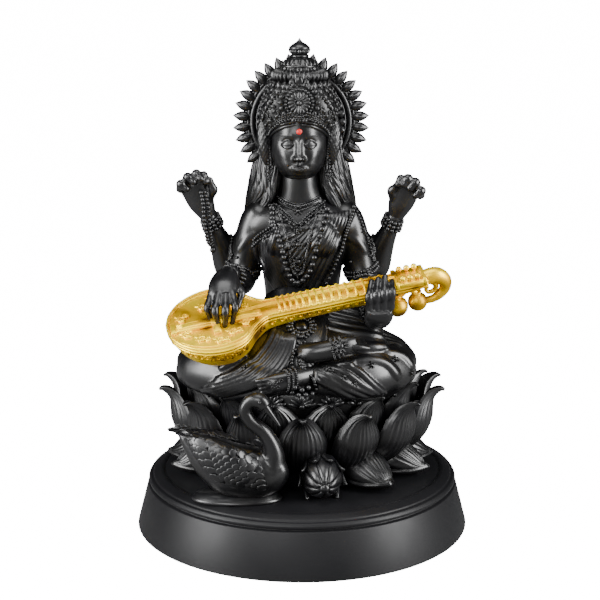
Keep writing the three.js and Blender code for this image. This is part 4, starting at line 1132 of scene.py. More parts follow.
# %% Scrolls, leaves and the flower
def curl(turns_round=1.6, size=1.0, thick=0.42):
    """A flat spiral in its own x and z, 2 x size across, thicker at its outer end."""
    t = np.linspace(0, 1, 22)
    a = 2 * np.pi * turns_round * t
    r = size * (0.14 + 0.86 * t)
    return strand(np.stack([r * np.cos(a), np.zeros(22), r * np.sin(a), thick * (0.6 + 0.5 * t)], 1), 5, 19)


def leaf(length=4.0, wide=1.3, ribs=3):
    """A pointed leaf in its own x and z, standing along z from its root, facing -y."""
    full = [[0, 0, 0, 0.5 * wide, 0.6], [0, -0.5, 0.35 * length, wide, 0.7],
            [0, -0.5, 0.7 * length, 0.75 * wide, 0.6], [0, 0, length, 0.15, 0.2]]
    return shell(form(full, (1, 0, 0), blade(0.1, ribs, 0.3, 0.15))(steps(8), PETAL_SIDES[None, ::5]))


def facing(out, roll=0.0):
    """Frames whose own -y points `out`, with z as near to upright as it can be and then turned by
    `roll`."""
    out = unit(np.atleast_2d(out))
    across = unit(np.cross(np.broadcast_to((0.0, 0, 1), out.shape), out) * -1)
    up = np.cross(across, -out) * -1
    roll = np.broadcast_to(roll, len(out))[:, None]
    x = np.cos(roll) * across + np.sin(roll) * up
    z = -np.sin(roll) * across + np.cos(roll) * up
    return np.stack([x, -out, z], 1)


def round_crown(degrees, height, radius):
    """Places and outward directions round the crown, 0 degrees in front."""
    a = np.radians(np.atleast_1d(np.asarray(degrees, float)))
    out = np.stack([np.sin(a), -np.cos(a), np.zeros(len(a))], 1)
    return np.array(CROWN_AXIS) + out * radius + (0, 0, 1) * np.broadcast_to(height, len(a))[:, None], out


# %% The arched front, and what lies on it
ARCH = np.array([[-21.4, -6, 210], [-18.6, -10.6, 217], [-11.4, -15.2, 225.4], [0, -16.4, 231.2],
                 [11.4, -15.2, 225.4], [18.6, -10.6, 217], [21.4, -6, 210]]) + (FACE_X, 1.6, 0)


def hairline(drop, front):
    """The line of one band over the forehead, `drop` mm below the first."""
    return [[FACE_X - 18.2, 1.0, 198.6 - drop], [FACE_X - 15.6, -7, 204.6 - drop],
            [FACE_X - 8.6, front + 1.6, 209.8 - drop], [FACE_X, front, 211.8 - drop],
            [FACE_X + 8.6, front + 1.6, 209.8 - drop], [FACE_X + 15.6, -7, 204.6 - drop],
            [FACE_X + 18.2, 1.0, 198.6 - drop]]


low_edge, high_edge = (smooth(line, steps(41)[:, 0])[:, None] for line in (hairline(0, -13.6), ARCH))
rise = steps(12)[None]
front_sheet = low_edge + (high_edge - low_edge) * rise - np.array([0, 0.9, 0]) * np.sin(np.pi * rise)
tiara = shell(np.concatenate([front_sheet, front_sheet[:, ::-1] + (0, 4.5, 0)], 1))
crown_skin = touch_tree(merged([storeys[0], tiara]))

FLOWER = np.array([FACE_X + 0.2, -16.4, 220.4])
tilt_out = unit(np.array([0, -1, 0.12]))
ROUND_PETAL = [[0, 0, 0, 0.4, 0.6], [0, -0.5, 2.2, 0.7, 0.7], [0, -0.8, 4.4, 1.1, 0.7],
               [0, -0.7, 5.8, 1.0, 0.6], [0, -0.3, 6.5, 0.3, 0.4]]
round_petal = form(ROUND_PETAL, (1, 0, 0), blade(0.1, 1, 0.2, 0.1))(steps(10), PETAL_SIDES[None, ::4])
round_petal = shell(round_petal)
tilt_out = unit(np.array([0, -1, 0.12]))
petals_round = [copies(round_petal, [FLOWER + (0, 0.6, 0)],
                       facing(tilt_out, np.pi * k / 8)) for k in range(16)]
a = np.linspace(0, 2 * np.pi, 26, endpoint=False)
ring_places = FLOWER + np.stack([7.7 * np.sin(a), 0.6 + 0 * a, 7.7 * np.cos(a)], 1)
a = np.linspace(0, 2 * np.pi, 12, endpoint=False)
boss_places = FLOWER + np.stack([2.5 * np.sin(a), -0.5 + 0 * a, 2.5 * np.cos(a)], 1)
flower = petals_round + [copies(SMALL_BALL, [FLOWER - (0, 0.3, 0)], sizes=1.8),
                         copies(SMALL_BALL, ring_places, sizes=0.95),
                         copies(SMALL_BALL, boss_places, sizes=0.6)]

scrolls = []
arch = smooth(ARCH, np.linspace(0, 1, 33))
arch_out = unit(arch - np.array(CROWN_AXIS) - (0, 0, 1) * arch[:, 2:])
scrolls.append(copies(leaf(4.2, 1.5), arch[::2], facing(arch_out[::2], np.linspace(-0.9, 0.9, 17) * -1)))
scrolls.append(copies(SMALL_BALL, arch + (0, -0.6, -0.6), sizes=0.8))
scrolls.append(copies(leaf(6, 2.4), [arch[16] + (0, -0.5, -1)], facing((0, -1, 0.0))))
tier_leaves, out = round_crown(np.arange(0, 360, 20), 237.6, 9.8)
scrolls.append(copies(leaf(5.2, 1.7), tier_leaves, facing(out)))
roll_leaves, out = round_crown(np.arange(0, 360, 15), 226.4, 17.0)
scrolls.append(copies(leaf(5.4, 2.1), roll_leaves, facing(out)))
cast("crown_scrolls", scrolls + flower)

# %% Filigree over the crown's dome and front
def stamp(place, aim, index):
    """A curl or a leaf, by turns, where a line from `place` along `aim` meets the crown."""
    spot, normal = laid(crown_skin, [place, place + (0, 0, 0.1)], 2, 0.1, aim)
    one = curl(1.3, 1.5, 0.6) if index % 2 else leaf(3.2, 1.3, 1)
    return copies(one, spot[:1], facing(normal[:1], 0.9 * (-1) ** (index // 2)))


filigree = []
for row, height in enumerate(np.arange(206, 231, 2.8)):
    edge = np.interp(height, [198.6, 204.6, 209.8, 213],
                     [18.2, 15.6, 8.6, 0])  # half the width of the bare forehead
    top = np.interp(height, ARCH[:4, 2], -ARCH[:4, 0] + FACE_X)  # half the width under the arch
    for k, side in enumerate(np.arange(-19.5, 20, 3.0) + 1.5 * (row % 2)):
        if edge < abs(side) < top - 1 and np.hypot(side, height - FLOWER[2]) > 12.4:
            filigree.append(stamp(np.array([FACE_X + side, 0, height]), FRONT, k + row))
    places, out = round_crown(9 * (np.arange(40) + 0.5 * (row % 2)), height, 20)
    for k in range(40):
        if abs(places[k, 0] - FACE_X) > top or places[k, 1] > 0:
            filigree.append(stamp(places[k], tuple(-out[k]), k + row))
a = np.linspace(0, 2 * np.pi, 21)
spots, normals = laid(crown_skin, FLOWER + 9.0 * np.stack([np.sin(a), 0 * a, np.cos(a)], 1), 21, 0.1, FRONT)
filigree.append(copies(leaf(3.4, 1.5, 1), spots[:-1], facing(normals[:-1], a[:-1])))
cast("crown_filigree", filigree + [tiara])

# %% Beaded bands on the hairline
bands = []
for drop, front, radius in ((0, -14.6, 1.0), (-2.2, -15.6, 0.75), (-3.8, -16.4, 1.0)):
    line = smooth(hairline(drop, front), np.linspace(0, 1, int(62 / (1.9 * radius))))
    bands.append(copies(SMALL_BALL, line, sizes=radius))
for drop, front in ((-1.2, -15.0), (-2.9, -16.0)):
    bands.append(strand([[*p, 0.45] for p in hairline(drop, front)], 8, 80))
cast("hairline_bands", bands)

# %% [markdown]
# ## The side flaps and the halo
# Netted flaps hang from the crown beside the face. Behind the head stands a halo: a smooth ring with round
# knobs inside it and twenty-seven pointed buds outside it, spaced as thirty-four would be round a whole
# circle, each with a curl at its foot. All buds are one turned drop, so a Python loop over the angles would
# only slow it down, and numpy places them all at once.

# %% Side flaps
flaps = []
for s in (1, -1):
    flap = [[FACE_X + s * 18.6, 4, 210, 3.4, 3.4], [FACE_X + s * 20, 2, 203, 3.8, 3.8],
            [FACE_X + s * 19.8, 1, 195, 3.6, 3.6], [FACE_X + s * 19, 2, 188, 2.8, 2.8],
            [FACE_X + s * 18.6, 3, 183, 1.4, 1.4]]
    net = shell(form(flap, (1, 0, 0), combed(12, 0.7, 0.0, 5.0))(steps(44), turns(60)))
    net_back = shell(form(flap, (1, 0, 0), combed(12, 0.7, 0.0, -5.0))(steps(44), turns(60)))
    flaps += [net, net_back]
    edge = [[x - s * 2.6, y - 2.4, z] for x, y, z, *_ in flap]
    flaps.append(copies(SMALL_BALL, smooth(edge, np.linspace(0, 1, 20)), sizes=1.0))
cast("crown_side_flaps", flaps)

# %% Halo
HALO_CENTRE = np.array([-0.6, 15.0, 206.5])
BUDS, LAST_BUD = 34, 13
drop_profile = [[0.2, -3.8], [1.8, -3.4], [2.7, -1.8], [3.15, 0.2], [3.1, 1.8], [2.4, 3.8], [1.3, 5.5],
                [0.5, 6.5], [0.15, 7.0]]
drop, drop_faces = turned(drop_profile, 14)


def on_halo(degrees, radius, forward=0.0):
    """Places on the halo and frames whose own z points away from its centre."""
    a = np.radians(np.asarray(degrees, float))
    out = np.stack([np.sin(a), 0 * a, np.cos(a)], 1)
    across = np.stack([np.cos(a), 0 * a, -np.sin(a)], 1)
    frames = np.stack([across, np.broadcast_to((0.0, 1, 0), out.shape), out], 1)
    return HALO_CENTRE + out * radius - (0, forward, 0), frames


bud_turns = np.arange(-LAST_BUD, LAST_BUD + 1) * 360 / BUDS
sweep_deg = np.linspace(-150, 150, 140)
places, frames = on_halo(bud_turns, 33.2)
buds = copies((drop, drop_faces), places, frames)
ribs_round = copies(strand([[0, -2.9, -1.6, 0.4], [0, -3.2, 0.6, 0.55], [0, -2.4, 3, 0.4],
                            [0, -0.8, 5.4, 0.2]], 6, 14), places, frames)
collar_places, collar_frames = on_halo(bud_turns, 30.2)
collars = copies(curl(1.5, 1.7, 0.5), collar_places + (-0.0, -1.6, 0), collar_frames)
gap_places, _ = on_halo(bud_turns[:-1] + 180 / BUDS, 32.2)
small_knobs = copies(SMALL_BALL, gap_places, sizes=1.5)
ring_places, _ = on_halo(sweep_deg, 28.6)
plate = strand([[*p, 2.6] for p in ring_places], 20, 220, 0.7)
inner_places, _ = on_halo(sweep_deg, 25.9)
inner_cord = strand([[*p, 0.8] for p in inner_places + (0, -1.2, 0)], 8, 200)
outer_places, _ = on_halo(sweep_deg, 31.0)
outer_cord = strand([[*p, 0.8] for p in outer_places + (0, -1.2, 0)], 8, 200)
knob_places, knob_frames = on_halo(np.arange(-13, 14) * 11.2, 23.8, 1.2)
knobs = copies(ball(12, 8), knob_places, sizes=2.5)
knob_leaves = copies(leaf(5.0, 1.7, 2), knob_places - (0, 2.2, 0) - 2.4 * knob_frames[:, 2], knob_frames)
corners = np.array([[-7, -0.8], [7, -0.8], [7, 0.8], [-7, 0.8]])
r, w = 22.4 + corners[:, 0], np.radians(np.linspace(-150, 150, 120))[:, None]
backing = shell(HALO_CENTRE + np.stack([r * np.sin(w), 1.6 + corners[:, 1] + 0 * w, r * np.cos(w)], -1))
cast("halo_ring", [plate, inner_cord, outer_cord, backing, knobs, knob_leaves])
cast("halo_buds", [buds, ribs_round, collars, small_knobs])

# %% [markdown]
# ## Jewellery
# Chains, pearls and pendants are laid on the dressed body: each has a short line of places, the beads take
# even steps along it, and every bead is moved to the nearest place on the skin. So a chain keeps touching
# the cloth whatever the cloth does. The long chain has the largest beads and is the one the eye follows
# down the chest.

# %% Necklaces
LONG_CHAIN = [[-17.5, 1, 157], [-17, -2, 152], [-16, -8, 148.5], [-14.5, -10, 145], [-13, -10, 140.5],
              [-10.5, -12, 133], [-9, -13, 125.5], [-7, -7, 118], [-2.5, -9, 114], [2, -9, 118],
              [5.5, -9, 125], [7.5, -9, 134.5], [10, -8, 143], [12.8, -7, 150], [14.5, 0, 156.5]]
HERRINGBONE = [[-14, 1, 157.5], [-12, -4, 151.5], [-10, -8, 145.5], [-7.4, -10, 134], [-5, -11, 122],
               [-2.4, -11, 119.6], [0.4, -10, 122], [3, -9, 134], [5.5, -8, 146], [7.4, -5, 152],
               [9, -2, 158]]
COLLAR = [[-13.5, 6, 163], [-8.8, -1.6, 160.6], [-2.4, -2, 158.8], [4.2, -1, 160.6], [9.8, 5, 163]]
SHORT_VEE = [[-18, 3, 161], [-12.4, -4, 157.4], [-7, -7, 153.6], [-2.4, -9, 149], [2.2, -8, 153.6],
             [7.6, -4, 157.4], [13, 5, 161]]


def below(line, drop, forward=1.0):
    """A line lowered by `drop` mm and started a little in front."""
    return [[x, y - forward, z - drop] for x, y, z in line]


jewels = [beads(body_skin, LONG_CHAIN, 1.85, 3.6, 0.75, FRONT)]
jewels.append(cord(body_skin, HERRINGBONE, 0.85, 0.6, 0.7, 120, FRONT))
jewels.append(beads(body_skin, HERRINGBONE, 0.55, 1.15, 2.2, FRONT))
for drop, radius in ((0, 0.95), (2.3, 0.6)):
    jewels.append(beads(body_skin, below(COLLAR, drop), radius, None, 0.7, FRONT))
jewels.append(cord(body_skin, below(COLLAR, -1.4), 0.5, 0.3, 1.0, 60, FRONT))
for drop, radius in ((0, 0.85), (1.9, 0.55)):
    jewels.append(beads(body_skin, below(SHORT_VEE, drop), radius, None, 0.7, FRONT))


# %% Pendants, brooch and drops
def ornament(skin, place, width, height, petals=10, aim=None):
    """An oval jewel: a domed stone in a ring of small beads, with a ring of little leaves outside."""
    spot, out = laid(skin, [place, [place[0] + 0.1, place[1], place[2]]], 2, 0.3, aim)
    a = np.linspace(0, 2 * np.pi, petals, endpoint=False)
    stone = (SMALL_BALL[0] * (0.5 * width, 1.3, 0.5 * height), SMALL_BALL[1])
    ring_places = np.stack([0.64 * width * np.sin(a), 0 * a, 0.64 * height * np.cos(a)], 1)
    parts = [stone, copies(SMALL_BALL, ring_places, sizes=0.2 * min(width, height))]
    petal_frames = np.zeros((petals, 3, 3))
    petal_frames[:, 0, 0], petal_frames[:, 0, 2] = np.cos(a), -np.sin(a)
    petal_frames[:, 1, 1] = 1
    petal_frames[:, 2, 0], petal_frames[:, 2, 2] = np.sin(a), np.cos(a)
    one_leaf = leaf(0.4 * min(width, height), 0.17 * min(width, height), 1)
    parts.append(copies(one_leaf, 1.1 * ring_places, petal_frames))
    return copies(merged(parts), spot[:1], facing(out[:1]))


for place, width, height, petals in (([-2.4, -14, 127.6], 3.6, 4.6, 12), ([-2.4, -14, 122.8], 2.6, 2.8, 8),
                                     ([-2.4, -14, 138], 3.0, 3.0, 8), ([-2.4, -14, 146.6], 2.0, 2.4, 8),
                                     ([-2.3, -9, 156.4], 2.4, 2.8, 8)):
    jewels.append(ornament(body_skin, place, width, height, petals, FRONT))
for s in (1, -1):
    for x, z, size, roll in ((3.8, 137.4, 1.6, 0.6), (6.2, 139.6, 1.3, 1.3)):
        spot, out = laid(body_skin, [[-2.4 + s * x, -14, z], [-2.3 + s * x, -14, z]], 2, 0.2, FRONT)
        jewels.append(copies(curl(1.4, size, 0.4), spot[:1], facing(out[:1], s * roll)))
brooch_line = [[-10.6, -12, 142], [-7, -12, 139.4], [-2.4, -12, 138], [2.2, -11, 139.4], [5.4, -9, 142]]
jewels.append(beads(body_skin, brooch_line, 0.7, None, 0.7, FRONT))
fringe_places, fringe_out = laid(body_skin, below(SHORT_VEE, 2.6), 19, 0.4, FRONT)
jewels.append(copies(leaf(2.0, 0.8, 1), fringe_places, facing(fringe_out, np.pi)))
jewels.append(copies(SMALL_BALL, laid(body_skin, below(SHORT_VEE, 4.6), 17, 0.5, FRONT)[0], sizes=0.65))
cast("necklaces", jewels)

# %% Borders of the cloth
borders = [beads(body_skin, SARI_EDGE, 1.3, 2.6, 0.9, FRONT)]
BUST_BAND = [[-17, -4, 148], [-21.5, -2.5, 145], [-26, 1, 142], [-28.6, 3, 139]]
for drop, radius in ((0, 1.05), (2.1, 0.7), (4.0, 1.05)):
    borders.append(beads(body_skin, below(BUST_BAND, drop, 0.5), radius, None, 0.7, FRONT))


def around(skin, centre, axis, radius, count):
    """Places round a limb: a circle about an axis, moved on to the skin, with the way out at each one."""
    axis = unit(np.asarray(axis, float))
    one = unit(np.cross(axis, (0, 0, 1) if abs(axis[2]) < 0.9 else (1, 0, 0)))
    other = np.cross(axis, one)
    a = np.linspace(0, 2 * np.pi, count, endpoint=False)[:, None]
    ring = np.asarray(centre, float) + radius * (np.cos(a) * one + np.sin(a) * other)
    found = [skin.find_nearest(Vector(p)) for p in ring]
    return np.array([hit[0] for hit in found]), np.array([hit[1] for hit in found])


def bangle(skin, centre, axis, radius, bead, rows=1, gap=2.0, band=None):
    """Rows of beads round a limb, `gap` mm from row to row, and a plain band beside them if asked."""
    parts = []
    axis = unit(np.asarray(axis, float))
    for row in range(rows):
        middle = np.asarray(centre, float) + axis * gap * (row - (rows - 1) / 2)
        count = max(10, int(2 * np.pi * radius / (1.75 * bead)))
        places, out = around(skin, middle, axis, radius, count)
        parts.append(copies(SMALL_BALL, places + 0.6 * bead * out, sizes=bead))
    if band:
        places, out = around(skin, np.asarray(centre, float) + axis * band, axis, radius, 48)
        a = turns(8)[0]
        ring = places + 0.3 * out
        cos, sin = np.cos(a)[:, None, None], np.sin(a)[:, None, None]
        grid = ring[None] + 1.1 * (cos * axis + 0.7 * sin * out[None])
        parts.append(closed_ring(grid))
    return parts


for centre, axis, radius, bead, rows, gap, band in (
        ([-35, 10.4, 119.6], [-0.25, 0.1, -1], 10.4, 1.15, 2, 2.6, 3.4),  # right sleeve hem
        ([35, 10.2, 119.2], [0.25, 0.1, -1], 10.4, 1.15, 2, 2.6, 3.4),  # left sleeve hem
        ([-40.4, -15.4, 120.2], [-0.25, -0.9, 0.35], 6.4, 1.3, 3, 2.3, None),  # near right wrist
        ([41.2, -18, 100], [0.1, -0.93, -0.3], 6.2, 1.3, 3, 2.3, None),  # near left wrist
        ([53.8, 10.8, 147.4], [0.36, -0.35, 0.86], 5.6, 1.35, 3, 2.5, None),  # far left wrist
        ([-53.8, 10.8, 147.4], [-0.36, -0.35, 0.86], 5.6, 1.35, 3, 2.5, None),  # far right wrist
        ([-36.8, 18.4, 129], [-0.5, 0.15, -0.85], 9.4, 1.0, 2, 2.2, None),  # far right upper arm
        ([36.8, 18.4, 129], [0.5, 0.15, -0.85], 9.4, 1.0, 2, 2.2, None)):
    borders += bangle(body_skin, centre, axis, radius, bead, rows, gap, band)
SLEEVE_LINE = [[30, 4, 156], [35, 2, 149], [38.5, 3, 141], [41, 5, 133], [42.4, 6, 125]]
borders.append(beads(body_skin, SLEEVE_LINE, 1.0, 2.1))
for x, y, z in ((37.6, 2, 144), (40.2, 4, 137), (41.6, 6, 130)):
    borders.append(ornament(body_skin, [x, y, z], 2.2, 2.2, 6))
cast("borders_and_bangles", borders)

# %% Earrings, and the prayer beads
drops = []
for s in (1, -1):
    hook = np.array([FACE_X + s * 17.6, -1.5, 186])
    a = np.linspace(0, 2 * np.pi, 8, endpoint=False)
    round_places = np.stack([np.sin(a), 0 * a, np.cos(a)], 1)
    for down, radius in ((0, 0.9), (1.8, 0.8), (3.6, 0.8), (6.6, 1.5), (10.4, 1.2), (12.2, 0.7)):
        drops.append(copies(SMALL_BALL, [hook - (0, 0, down)], sizes=radius))
    drops.append(copies(SMALL_BALL, hook - (0, 0, 6.6) + 2.2 * round_places, sizes=0.8))
    drops.append(copies(SMALL_BALL, hook - (0, 0, 9.4) + 1.6 * round_places[:, [0, 2, 1]], sizes=0.55))
PRAYER_LINES = [
    [[-59, -1, 167], [-57.8, -1.6, 160], [-57.6, -1, 152], [-56.6, 0, 144], [-55.4, 2, 137], [-52.6, 6, 133]],
    [[-57, 0, 167], [-55, -0.6, 160], [-54.6, 0.6, 152], [-54.4, 2, 144], [-53.6, 3.4, 138], [-52.6, 6, 133]],
]
prayer = []
for line in PRAYER_LINES:
    path = smooth(line, np.linspace(0, 1, 17))
    prayer.append(copies(SMALL_BALL, path, sizes=1.35))
prayer.append(copies(SMALL_BALL, [[-53, 5.4, 131.6]], sizes=2.0))
cast("earrings_and_prayer_beads", drops + prayer)

# %% Girdle, hanging strands and studs of the skirt
girdle = []
for drop, radius in ((0, 1.0), (2.4, 1.4), (4.8, 1.0)):
    girdle.append(beads(skirt_skin,
                        [[-24, 0, 100 - drop], [-16, -16, 99 - drop], [-2, -22, 98 - drop],
                         [12, -16, 99 - drop], [22, -2, 101 - drop]], radius))
girdle.append(ornament(skirt_skin, [-1, -34, 93.4], 9.0, 7.6, 16))
for x, bead in ((-3.4, 1.1), (-1.0, 1.5), (1.6, 1.1)):
    girdle.append(beads(skirt_skin,
                        [[x, -40, 89], [x - 0.8, -50, 82], [x - 0.6, -56, 75], [x + 0.4, -58, 68],
                         [x + 0.8, -57, 62]], bead))
for x, y, z in ((-5.6, -57, 62), (-2, -58.6, 61), (2, -58, 61), (5.6, -56, 61), (0, -59, 64),
                (-4, -58.6, 65.4), (3.6, -57.6, 65)):
    girdle.append(copies(SMALL_BALL, [[x, y, z]], sizes=1.6))
for x, y, z in ((54, -36, 76), (17, -53, 73.5), (14, -53, 74.4), (30, -52, 66), (39.5, -46, 75),
                (-32, -50, 74), (60, -28, 66), (24, -53, 70)):
    girdle.append(ornament(skirt_skin, [x, y, z], 2.0, 2.0, 5))
for k in range(3):
    girdle += bangle(upper_skin, [17.4 + 2.4 * k, -49, 85.2 + 0.6 * k], [1, 0, 0.25], 6.2, 0.8)
    girdle += bangle(lower_skin, [-4.5 - 2.4 * k, -54 - 0.9 * k, 69], [-1, -0.4, 0], 6.0, 0.8)
girdle.append(ornament(upper_skin, [21.6, -55, 88.6], 4.6, 4.2, 10))
for x, z in ((-11.5, 70.6), (-15, 69.8), (-18.4, 69), (-12.6, 66), (-16.6, 65.4)):
    spot, out = laid(lower_skin, [[x, -64, z], [x + 0.1, -64, z]], 2, 0.1)
    girdle.append(copies(curl(1.3, 1.4, 0.3), spot[:1], facing(out[:1], x)))
cast("girdle_and_studs", girdle)

# %% [markdown]
# ## The gold veena
# The veena lies across her lap: a round bowl with a flat board, a fretted neck, a peg head that curls back
# like a scroll, and two gourds. It is modelled lying flat in its own frame and then turned into place, so
# that the strings stay straight whatever the pose is.

# %% Where the veena lies
NECK_DIRECTION = unit(np.array([0.976, 0.118, 0.183]))
board_normal = np.array([-0.117, -0.425, 0.898])
board_normal = unit(board_normal - (board_normal @ NECK_DIRECTION) * NECK_DIRECTION)
VEENA_FRAME = np.stack([NECK_DIRECTION, np.cross(board_normal, NECK_DIRECTION), board_normal])
VEENA_PLACE = np.array([41.3, -33.1, 118.5]) - 92 * NECK_DIRECTION


def lying(mesh):
    """A mesh from the veena's own frame, moved into her lap."""
    points, faces = mesh
    return points @ VEENA_FRAME + VEENA_PLACE, faces


BOWL = np.array([[-28.2, 3, 5], [-25.5, 12, 10], [-18, 21.7, 18.5], [-7, 27.3, 24], [4, 27.9, 24.8],
                 [13, 23.8, 22], [20.5, 14, 17.6], [28, 7.9, 14.4], [38, 7.2, 12.6], [60, 7.1, 11.8],
                 [100, 7, 10.6], [122, 6.6, 7.6]])
RIM = 1.6  # mm, the board's edge
stations = smooth(BOWL, steps(90)[:, 0])
a = np.linspace(0, np.pi, 33)
w, d = stations[:, 1, None], stations[:, 2, None]
under_y = (w - 0.9) * np.cos(a) * (1 + 0.05 * np.sin(a) ** 2)
under_z = -RIM - (d - RIM) * np.sin(a)
ring_y = np.hstack([w * np.array([[-0.93, -0.985, -1]]), -w, under_y[:, ::-1], w,
                    w * np.array([[1, 0.985, 0.93]])])
ring_z = np.hstack([0 * w + np.array([[0, -0.15, -0.5]]), 0 * w - RIM, under_z, 0 * w - RIM,
                    0 * w + np.array([[-0.5, -0.15, 0]])])
grid = np.stack([np.broadcast_to(stations[:, :1], ring_y.shape), ring_y, ring_z], -1)
body_of_veena = shell(grid)

# %% Rims, strings and bridge
def edge_line(share, height, first, last):
    """A line along the board's two edges, share of the half width out, from one station to another."""
    t = np.linspace(first, last, 60)
    s = smooth(BOWL, t)
    return [np.stack([s[:, 0], side * share * s[:, 1], np.full(60, height)], 1) for side in (1, -1)]


def loop_line(share, height, until):
    """A line round the bowl's end, from the neck on one side to the neck on the other."""
    one, other = edge_line(share, height, 0, until)
    return np.vstack([one[::-1], other])


trims = []
for share, height, radius in ((0.965, 0.2, 0.9), (0.86, 0.1, 0.55), (1.0, -1.2, 0.7), (0.99, -3.2, 0.6)):
    line = loop_line(share, height, 0.64)
    trims.append(strand(np.column_stack([line, np.full(len(line), radius)]), 6, 140))
for share, height, radius in ((0.93, 0.2, 0.75), (1.0, -1.4, 0.7), (0.98, -3.4, 0.5)):
    for line in edge_line(share, height, 0.6, 1):
        trims.append(strand(np.column_stack([line, np.full(len(line), radius)]), 6, 60))


def box_block(centre, size, bevel=0.3):
    """A block with eased edges: a turned square section would round too much, so its corners are cut."""
    x, y, z = np.array(size) / 2
    ring = np.array([[x, y - bevel], [x - bevel, y], [bevel - x, y], [-x, y - bevel], [-x, bevel - y],
                     [bevel - x, -y], [x - bevel, -y], [x, bevel - y]])
    levels = [(-z, 1.0), (z - bevel, 1.0), (z, 1 - 2 * bevel / max(min(size[0], size[1]), 1))]
    grid = np.stack([np.column_stack([ring * k, np.full(8, level)]) for level, k in levels])
    return shell(grid + np.asarray(centre))


fittings = [box_block([0.8, -4, 0.8], [49, 5.4, 2.6]), box_block([0.8, -4, 2.4], [47, 3.6, 1.0]),
            box_block([-1, -9.6, 0.8], [4.2, 9, 3.6]), box_block([-1, -4, 2.6], [4.8, 7.6, 2.4]),
            box_block([-25, -3.4, 0.8], [3, 8, 2.4]), box_block([112, 0, 0.4], [15, 14.6, 3.2]),
            box_block([104, 0, 0.6], [2.4, 15, 4.4]), box_block([120, 0, 0.6], [2.4, 14.6, 4.2])]
strings = [strand([[-23, -4 + y, 2.6, 0.28], [40, 0.7 * y, 3.0, 0.28], [104, 0.6 * y, 3.0, 0.28]], 6, 20)
           for y in (-1.4, -0.5, 0.5, 1.4)]
fret_places = 36 + np.concatenate([[0], np.cumsum(np.linspace(3.2, 5.4, 14))])
frets = []
for x in fret_places:
    half = 5.6
    frets += [strand([[x, -half, 0.6, 0.9], [x, -half + 1.4, 2.2, 0.8], [x, half - 1.4, 2.2, 0.8],
                      [x, half, 0.6, 0.9]], 7, 14),
              copies(ball(8, 5), [[x, -6.2, 0.8], [x, 6.2, 0.8]], sizes=1.25)]
PEG = [[0.2, 1.6], [1.2, 1.8], [1.0, 2.8], [1.7, 3.4], [1.9, 4.4], [1.3, 5.4], [0.2, 5.9]]
pegs = [turned(PEG, 14, (x, y, 0)) for y in (-4.6, 4.6) for x in (107.6, 112, 116.4)]

# %% Scroll and gourds
SCROLL = [[114, 0, -3.4, 4.4], [127.5, 0, -1.6, 4.8], [132.3, 0, -6, 4.3], [132.9, 0, -10.6, 3.5],
          [130.8, 0, -14.8, 2.9], [125.8, 0, -18, 2.4], [118, 0, -18.4, 2.0]]
scroll = strand(SCROLL, 24, 48)
inner_curl = strand([[124.6, 0, -5.6, 1.6], [127.4, 0, -8.4, 1.7], [126.4, 0, -12, 1.5],
                     [122.8, 0, -12.8, 1.3], [121.4, 0, -10.4, 1.1], [123, 0, -9, 0.9]], 12, 40)
gourds = []
for x, y, z, r in ((104, 0, -18.4, 6.2), (116, 0, -17.8, 5.7)):
    profile = [[0.3, -r], [0.55 * r, -0.86 * r], [0.9 * r, -0.45 * r], [r, 0], [0.92 * r, 0.4 * r],
               [0.62 * r, 0.78 * r], [0.36 * r, 0.95 * r], [0.34 * r, 1.15 * r], [0.5 * r, 1.25 * r],
               [0.3, 1.4 * r]]
    smooth_profile = smooth(profile, np.linspace(0, 1, 40))
    gourds.append(turned(smooth_profile, 48, (x, y, z)))
    gourds.append(strand([[x, y, z + r, 2.0], [(x + 111.5) / 2, y, (z + r - 7) / 2, 1.9],
                          [111.5, 0, -6, 2.2]], 14, 20))

# %% Vines on the board and along the side
def upright(mesh, place, tilt=0.0):
    """Lays a flat relief from its own x and z on to the veena's own x and y, at a place on the board."""
    points, faces = mesh
    c, s = np.cos(tilt), np.sin(tilt)
    x, y, z = points.T
    turned_points = np.stack([c * x - s * z, s * x + c * z, y], 1)
    return outward(turned_points + np.asarray(place), faces)


reliefs = []
for cx, cy, tilt in ((8, -15, 0.2), (-10, -16, -0.3), (-19, 5, 0.9), (-6, 12, 0.1), (8, 10, -0.4),
                     (-18, -10, 1.3), (16, -9, 0.7), (17, 6, -0.9), (0, -20, 0.1), (1, 18.5, 0.4)):
    reliefs.append(upright(curl(1.7, 2.6, 0.75), [cx, cy, 0.5], tilt))
    beside = [cx + 3.6 * np.cos(tilt), cy + 3.6 * np.sin(tilt), 0.5]
    reliefs.append(upright(curl(1.5, 2.0, 0.65), beside, tilt + 2.2))
    for k in range(5):
        roll = tilt + 2 * np.pi * k / 5
        reliefs.append(upright(leaf(3.2, 1.2, 1), [cx - 1.5, cy + 2, 0.4], roll))
side_skin = touch_tree(body_of_veena)
for i in range(15):
    x = 26 + 5.4 * i
    _, half, deep = smooth(BOWL, np.array([np.interp(x, BOWL[:, 0], np.linspace(0, 1, len(BOWL)))]))[0]
    places, out = laid(side_skin,
                       [[x, -half - 2, -0.42 * deep - 1.5], [x + 0.1, -half - 2, -0.42 * deep - 1.5]], 2)
    reliefs.append(copies(curl(1.5, 2.4, 0.7), places[:1], facing(out[:1], 0.6 * (-1) ** i)))
for i in range(17):
    q = np.interp(i, [0, 16], [0.02, 0.46])
    x, half, deep = smooth(BOWL, np.array([q]))[0]
    places, out = laid(side_skin, [[x, -half - 3, -0.34 * deep], [x + 0.1, -half - 3, -0.34 * deep]], 2)
    reliefs.append(copies(curl(1.5, 2.6, 0.75), places[:1], facing(out[:1], 0.9 * (-1) ** i)))
veena_parts = [body_of_veena, scroll,
               inner_curl] + trims + fittings + strings + frets + pegs + gourds + reliefs
piece("veena_carved", [lying(part) for part in veena_parts], gold_paint, "veena")

